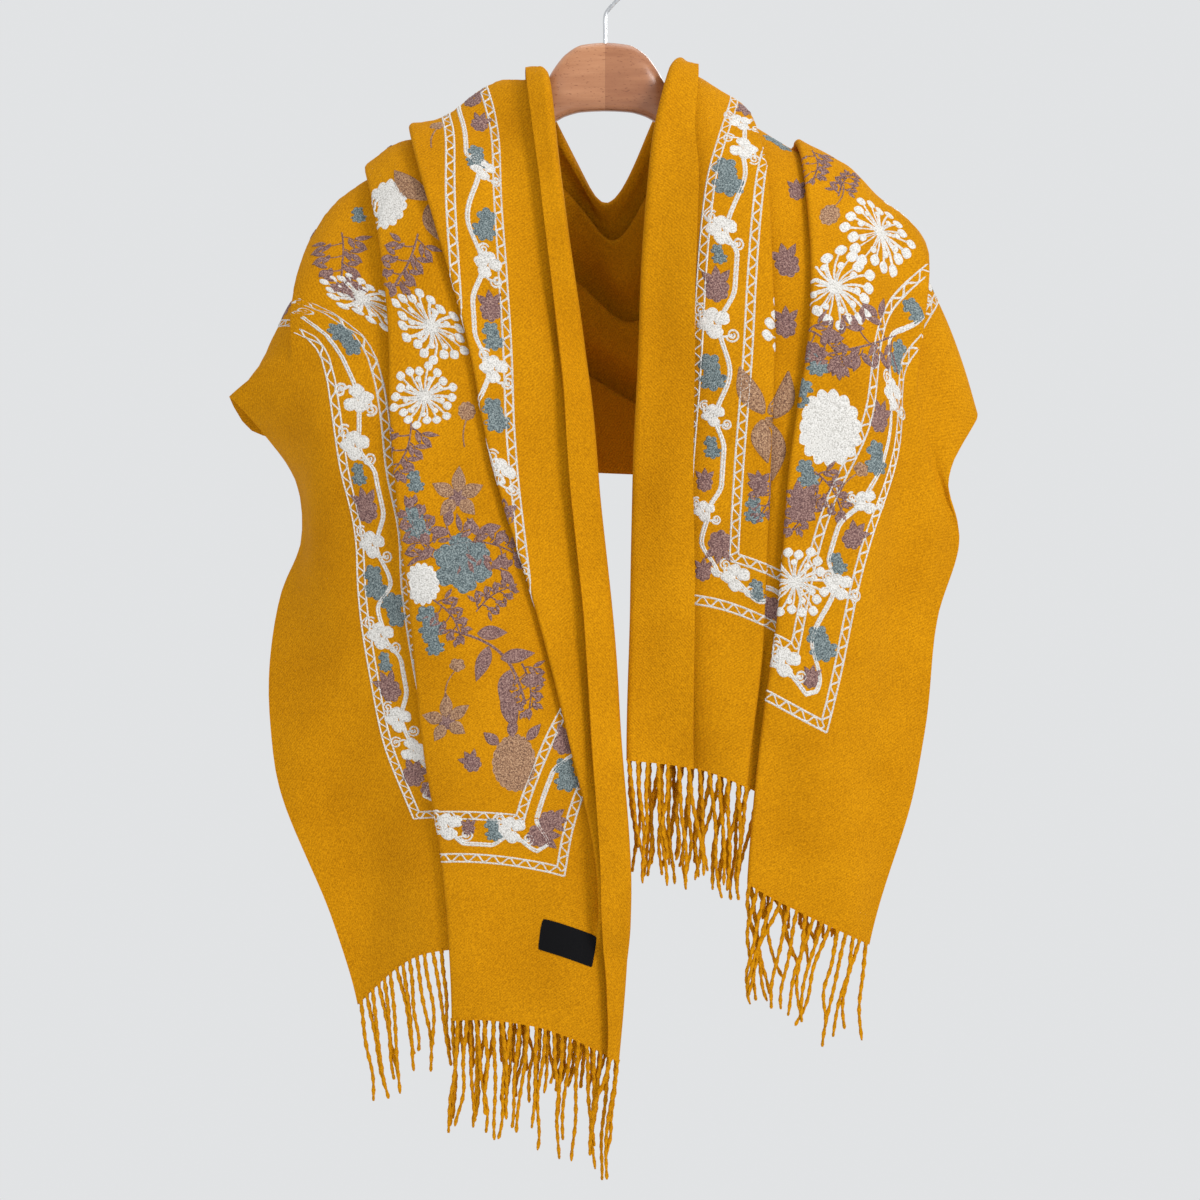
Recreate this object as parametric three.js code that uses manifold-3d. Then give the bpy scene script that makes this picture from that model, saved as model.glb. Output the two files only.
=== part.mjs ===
// Embroidered wool shawl draped over a wooden hanger with a steel hook.
// Millimetres. X runs to the right seen from the front, Y runs away from the front, Z runs up.
// The origin is the inner top of the hook, where it bears on a rail.
import * as THREE from "three";
import { mergeVertices } from "three/addons/utils/BufferGeometryUtils.js";
import Module from "manifold-3d";

const wasm = await Module();
wasm.setup();

// Cloth, as cut
const clothWidth = 700;
const clothLength = 2000;
const clothWall = 2;
const seamGap = 1;

// Fringe
const fringeLength = 112;
const fringeLengthSpread = 10;
const strandsPerHem = 74;
const strandRadius = 1.9;
const strandWidth = 2.8;
const rootBand = 5;
const rootGap = 0.7;
const leastRoot = 0.8;
const fringeSway = 5;
const swayWave = 21;

// Label
const labelWidth = 56;
const labelHeight = 31;
const labelWall = 1;
const labelAlong = 90;
const labelAcross = 96;
const labelGap = 1.2;
const labelLines = 3;
const labelColumns = 6;

// Hanger
const headTop = -75;
const hookWire = 4;
const hookInnerRadius = 18;
const hookOpening = 215;
const hookStart = -55;
const hookTurnStep = 18;
const hookBendAside = 1.5;
const hookBendBelow = 1.4;
const stemRises = [12, 24];
const wireSteps = 30;
const wireCurveSegments = 4;
const socketDepth = 16;
const socketSides = 12;
const fitGap = 0.3;

// Where the cloth is parted into its five stretches, measured along its length
const leftFrontEnd = 540;
const leftShoulder = 936;
const rightShoulder = 1325;
const rightFrontStart = 1541;

function table(columns, rows) {
  return rows.map((row) => Object.fromEntries(columns.map((name, k) => [name, row[k]])));
}

// The drape without its pleats. Each row is a line across the cloth: from the fold of the collar,
// over an inner and an outer point, to the cloth's outer edge. Rows run from the left hem over
// the left front, round the back and down the right front. The first and the last lie past the hems.
const sections = table(
  ["along", "fold", "inner", "outer", "edge"],
  [
    [-135, [-1, -52, -1187], [-72, -60, -1150], [-178, -50, -1155], [-212, -30, -1193]],
    [-90, [0, -52, -1142], [-71, -60, -1104], [-176, -50, -1109], [-214, -30, -1147]],
    [0, [10, -52, -1051], [-71, -60, -1016], [-171, -54, -1019], [-225, -34, -1069]],
    [143, [19, -54, -907], [-67, -64, -876], [-180, -58, -873], [-263, -26, -920]],
    [285, [12, -56, -764], [-76, -68, -746], [-200, -60, -746], [-319, -14, -764]],
    [428, [3, -58, -621], [-100, -72, -605], [-233, -58, -601], [-316, 24, -605]],
    [485, [-3, -60, -565], [-109, -74, -548], [-247, -58, -544], [-299, 32, -552]],
    [540, [-9, -62, -510], [-124, -76, -489], [-266, -58, -484], [-305, 30, -493]],
    [581, [-12, -63, -468], [-133, -76, -444], [-278, -54, -437], [-335, 16, -451]],
    [622, [-15, -64, -427], [-138, -74, -391], [-282, -44, -379], [-362, 8, -418]],
    [676, [-21, -66, -372], [-143, -70, -325], [-287, -26, -322], [-350, 48, -446]],
    [736, [-29, -66, -313], [-143, -58, -258], [-282, 4, -288], [-304, 66, -459]],
    [836, [-41, -58, -214], [-117, -22, -168], [-202, 16, -189], [-199, 74, -478]],
    [936, [-54, -14, -111], [-88, 16, -119], [-107, 66, -225], [-95, 79, -484]],
    [975, [-59, 22, -115], [-72, 42, -158], [-72, 74, -270], [-54, 80, -486]],
    [1031, [-41, 48, -166], [-33, 70, -225], [-20, 80, -339], [7, 81, -489]],
    [1135, [2, 66, -225], [16, 76, -282], [45, 81, -368], [105, 80, -491]],
    [1235, [47, 44, -157], [64, 70, -221], [130, 78, -320], [210, 76, -484]],
    [1287, [60, 24, -112], [84, 46, -165], [141, 66, -245], [253, 71, -476]],
    [1325, [57, -12, -105], [96, 20, -128], [147, 52, -187], [285, 66, -467]],
    [1387, [46, -46, -161], [124, -14, -161], [219, 14, -201], [323, 50, -455]],
    [1471, [39, -58, -237], [128, -52, -225], [261, -14, -249], [360, -6, -436]],
    [1541, [35, -60, -308], [124, -66, -303], [233, -54, -325], [328, -32, -493]],
    [1620, [33, -60, -387], [124, -70, -389], [233, -62, -425], [341, -20, -556]],
    [1715, [29, -58, -482], [119, -70, -487], [228, -62, -531], [319, -32, -626]],
    [1857, [26, -56, -624], [109, -66, -632], [212, -60, -683], [305, -26, -743]],
    [2000, [23, -54, -766], [102, -62, -778], [185, -58, -819], [274, -36, -863]],
    [2090, [26, -54, -856], [94, -60, -867], [169, -56, -907], [248, -38, -946]],
    [2215, [30, -54, -981], [94, -60, -991], [160, -54, -1030], [232, -38, -1068]],
  ],
);

// The strip of the collar that is turned over to the outside, and how far it stands off.
const collar = table(
  ["along", "width", "gap"],
  [
    [-90, 13, 10],
    [0, 13, 10],
    [57, 19, 11],
    [143, 31, 12],
    [622, 29, 13],
    [936, 29, 12],
    [1325, 29, 12],
    [1387, 36, 12],
    [1471, 49, 13],
    [1620, 54, 13],
    [1857, 61, 13],
    [2090, 63, 12],
  ],
);

// The pleats. A pleat that laps outward has its collar side on top, one that laps inward its
// outer side. Crest is how far its visible edge lies from the collar's fold, share its part of the
// spare cloth, radius that of its turns, and step how far the cloth past it is shifted along.
const pleats = [
  {
    lapsOutward: true,
    rows: table(
      ["along", "crest", "share", "radius", "step"],
      [
        [95, 30, 0, 2.2, 0],
        [143, 31, 0.03, 2.2, 0],
        [190, 34, 0.06, 2.2, 0],
        [285, 49, 0.17, 2.4, 0],
        [428, 76, 0.42, 2.6, 0],
        [540, 99, 0.52, 2.8, 0],
        [622, 114, 0.5, 2.8, 0],
        [736, 144, 0.44, 3.4, 0],
        [836, 165, 0.4, 4.2, 0],
        [936, 124, 0.34, 4, 0],
        [1135, 95, 0.34, 4.5, 0],
        [1325, 86, 0.3, 3.2, 0],
        [1387, 103, 0.38, 2.6, 0],
        [1471, 116, 0.46, 2.6, 0],
        [1620, 127, 0.5, 2.6, 0],
        [1715, 128, 0.5, 2.6, 0],
        [1857, 127, 0.5, 2.6, 0],
        [2000, 114, 0.5, 2.6, 0],
        [2120, 103, 0.5, 2.6, 0],
      ],
    ),
  },
  {
    lapsOutward: true,
    rows: table(
      ["along", "crest", "share", "radius", "step"],
      [
        [-90, 157, 1, 2.6, 66],
        [0, 162, 1, 2.6, 66],
        [143, 177, 1, 2.8, 48],
        [285, 186, 0.83, 3, 27],
        [428, 190, 0.58, 3.4, 10],
        [540, 192, 0.48, 3.4, 0],
        [622, 194, 0.4, 3.4, 0],
        [722, 201, 0.36, 3.4, 0],
        [836, 220, 0.36, 3.5, 0],
        [936, 209, 0.36, 4, 0],
        [1135, 181, 0.36, 4.5, 0],
        [1235, 165, 0.2, 4, 0],
        [1325, 150, 0, 3, 0],
      ],
    ),
  },
  {
    lapsOutward: false,
    rows: table(
      ["along", "crest", "share", "radius", "step"],
      [
        [1325, 168, 0, 3, 0],
        [1356, 156, 0.07, 3, 0],
        [1387, 147, 0.24, 3, 0],
        [1430, 150, 0.46, 3, 0],
        [1471, 154, 0.46, 3, 0],
        [1541, 162, 0.46, 3.2, 10],
        [1620, 156, 0.46, 3.4, 19],
        [1715, 150, 0.48, 3.4, 43],
        [1857, 139, 0.5, 3.4, 66],
        [2000, 128, 0.5, 3.4, 86],
        [2120, 118, 0.5, 3.4, 86],
      ],
    ),
  },
  {
    lapsOutward: true,
    rows: table(
      ["along", "crest", "share", "radius", "step"],
      [
        [622, 297, 0, 3, 0],
        [676, 290, 0.1, 3, 0],
        [736, 285, 0.18, 3.5, 0],
        [836, 285, 0.24, 3.5, 0],
        [936, 295, 0.3, 4, 0],
        [1135, 266, 0.3, 4.5, 0],
        [1325, 276, 0.35, 4, 0],
        [1387, 285, 0.16, 3.5, 0],
        [1471, 295, 0.08, 3, 0],
        [1541, 310, 0, 3, 0],
      ],
    ),
  },
];

// Soft crowns and troughs along the cloth: how far in from the collar's fold, width and height.
const crowns = [
  table(
    ["along", "centre", "width", "height"],
    [
      [0, 105, 67, 8],
      [285, 124, 67, 8],
      [540, 157, 48, 5],
      [665, 162, 38, 0],
    ],
  ),
  table(
    ["along", "centre", "width", "height"],
    [
      [0, 238, 57, -6],
      [143, 238, 57, -7],
      [285, 257, 57, -5],
      [428, 276, 48, -3],
      [540, 285, 38, 0],
    ],
  ),
  table(
    ["along", "centre", "width", "height"],
    [
      [1500, 250, 45, 0],
      [1620, 245, 45, 7],
      [1857, 220, 45, 8],
      [2090, 200, 45, 4],
    ],
  ),
];

// How finely a line across the cloth is drawn: segments in each part of it.
const detail = { strip: 2, roll: 4, lead: 6, turn: 3, layer: 3, over: 4, tail: 3 };
const rowStep = 64;
const leastRowStep = 5;
const shoulderStep = 34;
const shoulderZone = [600, 1000, 1290, 1560];
const leastStep = 2.2;
const normalStep = 6;
const rampLength = 60;
const tailLength = 30;
const rampMargin = 5;
const mostOfShare = 1.8;
const sharePasses = 4;
const turnHalvings = 24;
const shortestRun = 2;
const collarClearance = 7;
const edgeClearance = 14;

const baseRows = 150;
const baseColumns = 60;
const lineSteps = 120;
const chordPower = 0.8;
const softenings = 4;
const baseStart = sections[0].along;
const baseEnd = sections[sections.length - 1].along;

// Curves through tables

function bracket(knots, at) {
  let k = 0;
  while (k < knots.length - 2 && at >= knots[k + 1]) k += 1;
  return k;
}

function hermite(t, step, from, to, slopeFrom, slopeTo) {
  const rise = t * t * (3 - 2 * t);
  const start = t * (1 - t) * (1 - t);
  const end = t * t * (t - 1);
  return from + (to - from) * rise + step * (start * slopeFrom + end * slopeTo);
}

// A curve that never overshoots its table.
function monotone(rows, column, at) {
  const knots = rows.map((row) => row.along);
  const values = rows.map((row) => row[column]);
  const clamped = Math.min(Math.max(at, knots[0]), knots[knots.length - 1]);
  const slope = (k) => (values[k + 1] - values[k]) / (knots[k + 1] - knots[k]);
  const tangent = (k) => {
    if (k === 0 || k === knots.length - 1) return 0;
    const before = slope(k - 1);
    const after = slope(k);
    if (before * after <= 0) return 0;
    const left = knots[k] - knots[k - 1];
    const right = knots[k + 1] - knots[k];
    const weightBefore = 2 * right + left;
    const weightAfter = right + 2 * left;
    return (weightBefore + weightAfter) / (weightBefore / before + weightAfter / after);
  };
  const k = bracket(knots, clamped);
  const step = knots[k + 1] - knots[k];
  return hermite((clamped - knots[k]) / step, step, values[k], values[k + 1], tangent(k), tangent(k + 1));
}

// A smooth curve through points, with its tangents from the weighted neighbours.
function spline(knots, points, at) {
  const last = knots.length - 1;
  const slope = (k, axis) => (points[k + 1][axis] - points[k][axis]) / (knots[k + 1] - knots[k]);
  const inside = (k, axis) => {
    const left = knots[k] - knots[k - 1];
    const right = knots[k + 1] - knots[k];
    return (slope(k - 1, axis) * right + slope(k, axis) * left) / (left + right);
  };
  const tangent = (k, axis) => {
    if (k === 0) return 1.5 * slope(0, axis) - 0.5 * inside(1, axis);
    if (k === last) return 1.5 * slope(last - 1, axis) - 0.5 * inside(last - 1, axis);
    return inside(k, axis);
  };
  const k = bracket(knots, at);
  const step = knots[k + 1] - knots[k];
  const t = (at - knots[k]) / step;
  return [0, 1, 2].map((axis) =>
    hermite(t, step, points[k][axis], points[k + 1][axis], tangent(k, axis), tangent(k + 1, axis)),
  );
}

function smooth(t) {
  const inside = Math.min(Math.max(t, 0), 1);
  return inside * inside * (3 - 2 * inside);
}

function distance(p, q) {
  return Math.hypot(p[0] - q[0], p[1] - q[1], p[2] - q[2]);
}

function between(p, q, t) {
  return p.map((value, axis) => value + (q[axis] - value) * t);
}

function unit(p) {
  const length = Math.hypot(...p);
  return p.map((value) => value / length);
}

function cross(p, q) {
  return [p[1] * q[2] - p[2] * q[1], p[2] * q[0] - p[0] * q[2], p[0] * q[1] - p[1] * q[0]];
}

function minus(p, q) {
  return p.map((value, axis) => value - q[axis]);
}

function along(p, direction, by) {
  return p.map((value, axis) => value + direction[axis] * by);
}

// The base surface: one smooth line for each section, in equal shares of its length

function sectionLine(at) {
  const knotsAlong = sections.map((row) => row.along);
  const control = ["fold", "inner", "outer", "edge"].map((name) =>
    spline(knotsAlong, sections.map((row) => row[name]), at),
  );
  const knots = [0];
  for (let k = 1; k < control.length; k += 1) {
    knots.push(knots[k - 1] + distance(control[k], control[k - 1]) ** chordPower);
  }
  const line = [];
  const run = [0];
  for (let k = 0; k <= lineSteps; k += 1) {
    line.push(spline(knots, control, (knots[3] * k) / lineSteps));
    if (k > 0) run.push(run[k - 1] + distance(line[k], line[k - 1]));
  }
  const length = run[lineSteps];
  const points = [];
  let k = 0;
  for (let column = 0; column <= baseColumns; column += 1) {
    const target = (length * column) / baseColumns;
    while (k < lineSteps - 1 && run[k + 1] < target) k += 1;
    points.push(between(line[k], line[k + 1], (target - run[k]) / (run[k + 1] - run[k])));
  }
  return { points, length };
}

function baseSurface() {
  const lines = [];
  for (let row = 0; row <= baseRows; row += 1) {
    lines.push(sectionLine(baseStart + ((baseEnd - baseStart) * row) / baseRows));
  }
  const points = lines.map((line) => line.points);
  const lengths = lines.map((line) => line.length);
  let normals = gridNormals(points);
  for (let pass = 0; pass < softenings; pass += 1) normals = softened(normals);
  return { points, lengths, normals };
}

function gridNormals(points) {
  const rows = points.length;
  const columns = points[0].length;
  return points.map((line, i) =>
    line.map((_, j) => {
      const down = minus(points[Math.min(i + 1, rows - 1)][j], points[Math.max(i - 1, 0)][j]);
      const across = minus(line[Math.min(j + 1, columns - 1)], line[Math.max(j - 1, 0)]);
      return unit(cross(down, across));
    }),
  );
}

function softened(normals) {
  const rows = normals.length;
  const columns = normals[0].length;
  return normals.map((line, i) =>
    line.map((normal, j) => {
      const sum = normal.map((value) => 2 * value);
      const beside = [
        normals[Math.max(i - 1, 0)][j],
        normals[Math.min(i + 1, rows - 1)][j],
        line[Math.max(j - 1, 0)],
        line[Math.min(j + 1, columns - 1)],
      ];
      beside.forEach((other) => other.forEach((value, axis) => (sum[axis] += value)));
      return unit(sum);
    }),
  );
}

const base = baseSurface();

function baseRow(at) {
  const row = ((at - baseStart) / (baseEnd - baseStart)) * baseRows;
  return Math.min(Math.max(row, 0), baseRows - 0.001);
}

function baseLength(at) {
  const row = baseRow(at);
  const i = Math.floor(row);
  return base.lengths[i] + (base.lengths[i + 1] - base.lengths[i]) * (row - i);
}

function lookUp(grid, at, share) {
  const row = baseRow(at);
  const column = Math.min(Math.max(share * baseColumns, 0), baseColumns - 0.001);
  const i = Math.floor(row);
  const j = Math.floor(column);
  const near = between(grid[i][j], grid[i][j + 1], column - j);
  const far = between(grid[i + 1][j], grid[i + 1][j + 1], column - j);
  return between(near, far, row - i);
}

// The pleats of one line across the cloth

// A pleat turns by an angle, runs straight and turns back. The angle is half a turn where there is
// cloth enough, and less where the pleat dies away.
function foldOf(radius, depth) {
  const fullDepth = radius * (Math.PI + shortestRun);
  if (depth >= fullDepth) return { turn: Math.PI, run: depth - Math.PI * radius };
  const run = shortestRun * radius;
  let low = 0;
  let high = Math.PI;
  for (let pass = 0; pass < turnHalvings; pass += 1) {
    const middle = (low + high) / 2;
    const used = 2 * radius * (middle - Math.sin(middle)) + run * (1 - Math.cos(middle));
    if (used < 2 * depth) low = middle;
    else high = middle;
  }
  return { turn: (low + high) / 2, run };
}

// The collar and the pleats of one row, all measured from the collar's fold.
function foldsAt(at, shown) {
  const length = baseLength(at);
  const width = monotone(collar, "width", at);
  const roll = monotone(collar, "gap", at) / 2;
  const collarCloth = width + (Math.PI - 2) * roll;
  const folds = shown.map((pleat) => {
    const value = (column) => monotone(pleat.rows, column, at);
    const crest = Math.min(value("crest"), length - edgeClearance);
    const radius = value("radius");
    const free = pleat.lapsOutward ? crest - collarClearance : length - crest - edgeClearance;
    const room = free + (Math.PI - 2) * radius;
    return { pleat, crest, radius, share: value("share"), step: value("step"), room, depth: 0 };
  });
  shareOut(folds, Math.max((clothWidth - collarCloth - length) / 2, 0));
  return { length, width, roll, folds: folds.map(shaped) };
}

// The spare cloth goes to the pleats by their shares, as far as each has room. What one has no
// room for goes to the others, but no pleat takes much more than its share.
function shareOut(folds, spare) {
  let left = spare;
  for (let pass = 0; pass < sharePasses; pass += 1) {
    const limit = (fold) => Math.min(fold.room, mostOfShare * fold.share * spare);
    const open = folds.filter((fold) => fold.depth < limit(fold) - 0.01);
    const shares = open.reduce((sum, fold) => sum + fold.share, 0);
    if (shares === 0) break;
    const given = left / shares;
    for (const fold of open) {
      const more = Math.min(given * fold.share, limit(fold) - fold.depth);
      fold.depth += more;
      left -= more;
    }
  }
}

// Where a pleat starts to turn, where it has turned back, and how far it reaches under its top.
function shaped(fold) {
  const shape = foldOf(fold.radius, fold.depth);
  const bulge = fold.radius * Math.sin(Math.min(shape.turn, Math.PI / 2));
  const lift = 2 * fold.radius * (1 - Math.cos(shape.turn)) + shape.run * Math.sin(shape.turn);
  const advance = 2 * fold.radius * Math.sin(shape.turn) + shape.run * Math.cos(shape.turn);
  const start = fold.pleat.lapsOutward ? fold.crest - bulge : fold.crest + bulge - advance;
  const end = start + advance;
  const reach = fold.pleat.lapsOutward ? Math.min(start, end - bulge) : Math.max(end, start + bulge);
  return { ...fold, ...shape, lift, start, end, reach };
}

// How far out the cloth on top of an inward pleat has to stay raised. Its top is shifted along, so
// it lies over the pleat of a row further on.
function coverOf(at, index, folds, length, shown) {
  const { step, reach } = folds[index];
  if (step === 0) return reach;
  const over = foldsAt(at + step, shown);
  return Math.max((over.folds[index].reach / over.length) * length, reach);
}

// The line across: how far out (a), how high (b) and how far shifted (slide) each point lies.
function lineAcross(at, shown) {
  const { length, width, roll, folds } = foldsAt(at, shown);
  const covers = folds.map((fold, index) => coverOf(at, index, folds, length, shown));
  const line = [];
  const add = (a, b, slide, ahead, passed) => line.push({ a, b, slide, ahead, passed });
  const steps = (count, draw) => {
    for (let k = 0; k < count; k += 1) draw(k / count);
  };

  steps(detail.strip, (t) => add(width + (roll - width) * t, 2 * roll, 0, 0, 0));
  steps(detail.roll, (t) => {
    const angle = Math.PI * t;
    add(roll * (1 - Math.sin(angle)), roll * (1 + Math.cos(angle)), 0, 0, 0);
  });
  let from = roll;
  let slide = 0;
  folds.forEach((fold, index) => {
    const { radius, turn, run, start, end, lift, step } = fold;
    const outward = fold.pleat.lapsOutward;
    const top = outward ? lift : 0;
    const down = outward ? -1 : 1;
    const passed = index + 1;
    steps(detail.lead, (t) => add(from + (start - from) * t, 0, slide, index, index));
    steps(detail.turn, (t) => {
      const height = top + down * radius * (1 - Math.cos(turn * t));
      add(start + radius * Math.sin(turn * t), height, slide, passed, index);
    });
    const bendA = start + radius * Math.sin(turn);
    const bendB = top + down * radius * (1 - Math.cos(turn));
    steps(detail.layer, (t) => {
      const out = bendA + run * t * Math.cos(turn);
      add(out, bendB + down * run * t * Math.sin(turn), slide + step * smooth(t), passed, index);
    });
    const bottom = top + down * lift;
    steps(detail.turn, (t) => {
      const angle = turn * (1 - t);
      const height = bottom - down * radius * (1 - Math.cos(angle));
      add(end - radius * Math.sin(angle), height, slide + step, passed, index);
    });
    slide += step;
    from = end;
    if (!outward) {
      const rampEnd = Math.min(covers[index] + rampMargin + rampLength, length - tailLength);
      steps(detail.over, (t) => add(end + (rampEnd - end) * t, 0, slide, passed, passed));
      from = rampEnd;
    }
  });
  steps(detail.tail, (t) => add(from + (length - from) * t, 0, slide, folds.length, folds.length));
  add(length, 0, slide, folds.length, folds.length);

  for (const point of line) {
    const out = Math.max(point.a, 2 * roll);
    folds.forEach((fold, index) => {
      const below = smooth((out - fold.reach + rampMargin + rampLength) / rampLength);
      const above = 1 - smooth((out - covers[index] - rampMargin) / rampLength);
      if (fold.pleat.lapsOutward && index >= point.ahead) point.b += fold.lift * below;
      if (!fold.pleat.lapsOutward && index < point.passed) point.b += fold.lift * above;
    });
  }
  return { line: spread(line), length };
}

// Points stay a least step apart along the cloth, also where a pleat has died away.
function spread(line) {
  const run = [0];
  for (let k = 1; k < line.length; k += 1) {
    run.push(run[k - 1] + Math.hypot(line[k].a - line[k - 1].a, line[k].b - line[k - 1].b));
  }
  const total = run[run.length - 1];
  const wanted = run.slice();
  for (let k = 1; k < wanted.length; k += 1) wanted[k] = Math.max(wanted[k], wanted[k - 1] + leastStep);
  wanted[wanted.length - 1] = total;
  for (let k = wanted.length - 2; k > 0; k -= 1) {
    wanted[k] = Math.min(wanted[k], wanted[k + 1] - leastStep);
  }
  return wanted.map((target) => {
    const k = bracket(run, target);
    const t = (target - run[k]) / Math.max(run[k + 1] - run[k], 1e-9);
    const mix = (name) => line[k][name] + (line[k + 1][name] - line[k][name]) * t;
    return { a: mix("a"), b: mix("b"), slide: mix("slide"), u: (target / total) * clothWidth };
  });
}

function crownHeight(at, a) {
  return crowns.reduce((sum, rows) => {
    const offset = (a - monotone(rows, "centre", at)) / monotone(rows, "width", at);
    return sum + monotone(rows, "height", at) * Math.exp(-offset * offset);
  }, 0);
}

// One row of points in the middle of the cloth's wall, each with its place u across the cloth.
function clothRow(at, shown) {
  const { line, length } = lineAcross(at, shown);
  return line.map((point) => {
    const place = at + point.slide;
    const foot = lookUp(base.points, place, point.a / length);
    const normal = lookUp(base.normals, place, point.a / length);
    const position = along(foot, normal, point.b + crownHeight(place, point.a));
    return Object.assign(position, { u: point.u });
  });
}

// Walls

function rowsBetween(start, end) {
  const rows = [start];
  const stops = sections.map((row) => row.along).filter((at) => at > start + leastRowStep && at < end - leastRowStep);
  for (const stop of [...stops, end]) {
    const from = rows[rows.length - 1];
    const middle = (from + stop) / 2;
    const [leftLow, leftHigh, rightLow, rightHigh] = shoulderZone;
    const onShoulder = (middle > leftLow && middle < leftHigh) || (middle > rightLow && middle < rightHigh);
    const count = Math.ceil((stop - from) / (onShoulder ? shoulderStep : rowStep));
    for (let k = 1; k <= count; k += 1) rows.push(from + ((stop - from) * k) / count);
  }
  return rows;
}

// The way the cloth faces along one row, from two rows close beside it.
function rowNormals(at, shown) {
  const before = clothRow(at - normalStep, shown);
  const after = clothRow(at + normalStep, shown);
  const middle = before.map((point, j) => between(point, after[j], 0.5));
  return middle.map((point, j) => {
    const across = minus(middle[Math.min(j + 1, middle.length - 1)], middle[Math.max(j - 1, 0)]);
    return unit(cross(minus(after[j], before[j]), across));
  });
}

// A closed wall round a grid of points: an outer face, an inner face and a rim.
function wall(grid, normals, thickness) {
  const rows = grid.length;
  const columns = grid[0].length;
  const positions = [];
  for (const side of [thickness / 2, -thickness / 2]) {
    grid.forEach((line, i) => line.forEach((point, j) => positions.push(...along(point, normals[i][j], side))));
  }
  const outer = (i, j) => i * columns + j;
  const inner = (i, j) => rows * columns + outer(i, j);
  const faces = [];
  const quad = (p, q, r, s) => faces.push(p, q, r, p, r, s);
  for (let i = 0; i < rows - 1; i += 1) {
    for (let j = 0; j < columns - 1; j += 1) {
      quad(outer(i, j), outer(i + 1, j), outer(i + 1, j + 1), outer(i, j + 1));
      quad(inner(i, j), inner(i, j + 1), inner(i + 1, j + 1), inner(i + 1, j));
    }
    quad(outer(i, 0), inner(i, 0), inner(i + 1, 0), outer(i + 1, 0));
    const end = columns - 1;
    quad(outer(i, end), outer(i + 1, end), inner(i + 1, end), inner(i, end));
  }
  for (let j = 0; j < columns - 1; j += 1) {
    quad(outer(0, j), outer(0, j + 1), inner(0, j + 1), inner(0, j));
    quad(outer(rows - 1, j), inner(rows - 1, j), inner(rows - 1, j + 1), outer(rows - 1, j + 1));
  }
  return geometryOf(positions, faces);
}

function geometryOf(positions, faces) {
  const geometry = new THREE.BufferGeometry();
  geometry.setAttribute("position", new THREE.Float32BufferAttribute(positions, 3));
  geometry.setIndex(faces);
  return geometry;
}

function clothStretch(start, end) {
  const rows = rowsBetween(start, end);
  const shown = present(rows);
  const points = rows.map((at) => clothRow(at, shown));
  const normals = rows.map((at) => rowNormals(at, shown));
  return wall(points, normals, clothWall);
}

// A point of the built cloth between its rows, at a place along and across it.
function panelPoint(rows, points, at, across) {
  const k = bracket(rows, at);
  const t = (at - rows[k]) / (rows[k + 1] - rows[k]);
  return between(rowPoint(points[k], across), rowPoint(points[k + 1], across), t);
}

function rowPoint(row, across) {
  const { j, part } = placeIn(row, across);
  return between(row[j], row[j + 1], part);
}

// Between which two points of a row a place across the cloth lies, and how far along them.
function placeIn(row, u) {
  const j = bracket(row.map((point) => point.u), u);
  return { j, part: (u - row[j].u) / (row[j + 1].u - row[j].u) };
}

function present(rows) {
  return pleats.filter((pleat) => rows.some((at) => monotone(pleat.rows, "share", at) > 0));
}

// The label lies on the left front beside the collar's edge, parallel to the hem.
function label() {
  const rows = rowsBetween(0, leftFrontEnd - seamGap / 2);
  const shown = present(rows);
  const points = rows.map((at) => clothRow(at, shown));
  const grid = [];
  for (let i = 0; i < labelLines; i += 1) {
    const at = labelAlong + labelHeight * (i / (labelLines - 1) - 0.5);
    const line = [];
    for (let j = 0; j < labelColumns; j += 1) {
      const across = labelAcross + labelWidth * (j / (labelColumns - 1) - 0.5);
      line.push(panelPoint(rows, points, at, across));
    }
    grid.push(line);
  }
  const normals = gridNormals(grid);
  const lift = clothWall / 2 + labelGap + labelWall / 2;
  const lifted = grid.map((line, i) => line.map((point, j) => along(point, normals[i][j], lift)));
  return wall(lifted, normals, labelWall);
}

function solidOf(geometry) {
  const vertProperties = new Float32Array(geometry.attributes.position.array);
  const triVerts = new Uint32Array(geometry.index.array);
  return new wasm.Manifold(new wasm.Mesh({ numProp: 3, vertProperties, triVerts }));
}

function geometryFrom(solid) {
  const mesh = solid.getMesh();
  return geometryOf([...mesh.vertProperties], [...mesh.triVerts]);
}

// A closed tube through rings of equal count, each ring given from outside round the path.
function loft(rings) {
  const count = rings[0].length;
  const faces = [];
  for (let i = 0; i < rings.length - 1; i += 1) {
    for (let j = 0; j < count; j += 1) {
      const next = (j + 1) % count;
      const near = i * count;
      const far = near + count;
      faces.push(near + j, near + next, far + next, near + j, far + next, far + j);
    }
  }
  const last = (rings.length - 1) * count;
  for (let j = 1; j < count - 1; j += 1) {
    faces.push(0, j + 1, j, last, last + j, last + j + 1);
  }
  return geometryOf(rings.flat(2), faces);
}

// Fringe: four-sided strands that grow out of a narrow band, which follows the hem's folds.

// A strand's rings: it hangs on in the way that the cloth's folds would, and sways a little.
function strandRings(corners, shown, root, outward, u) {
  const middle = corners.reduce((sum, corner) => along(sum, corner, 1 / corners.length), [0, 0, 0]);
  const length = fringeLength + fringeLengthSpread * Math.sin(u);
  const { j, part } = placeIn(clothRow(root, shown), u);
  return [0.5, 1].map((share) => {
    const row = clothRow(root + outward * length * share, shown);
    const hung = between(row[j], row[j + 1], part);
    const aside = fringeSway * share * Math.sin(hung[0] / swayWave);
    const centre = [hung[0] + aside, hung[1], hung[2]];
    return corners.map((corner) => along(centre, unit(minus(corner, middle)), strandRadius));
  });
}

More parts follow.
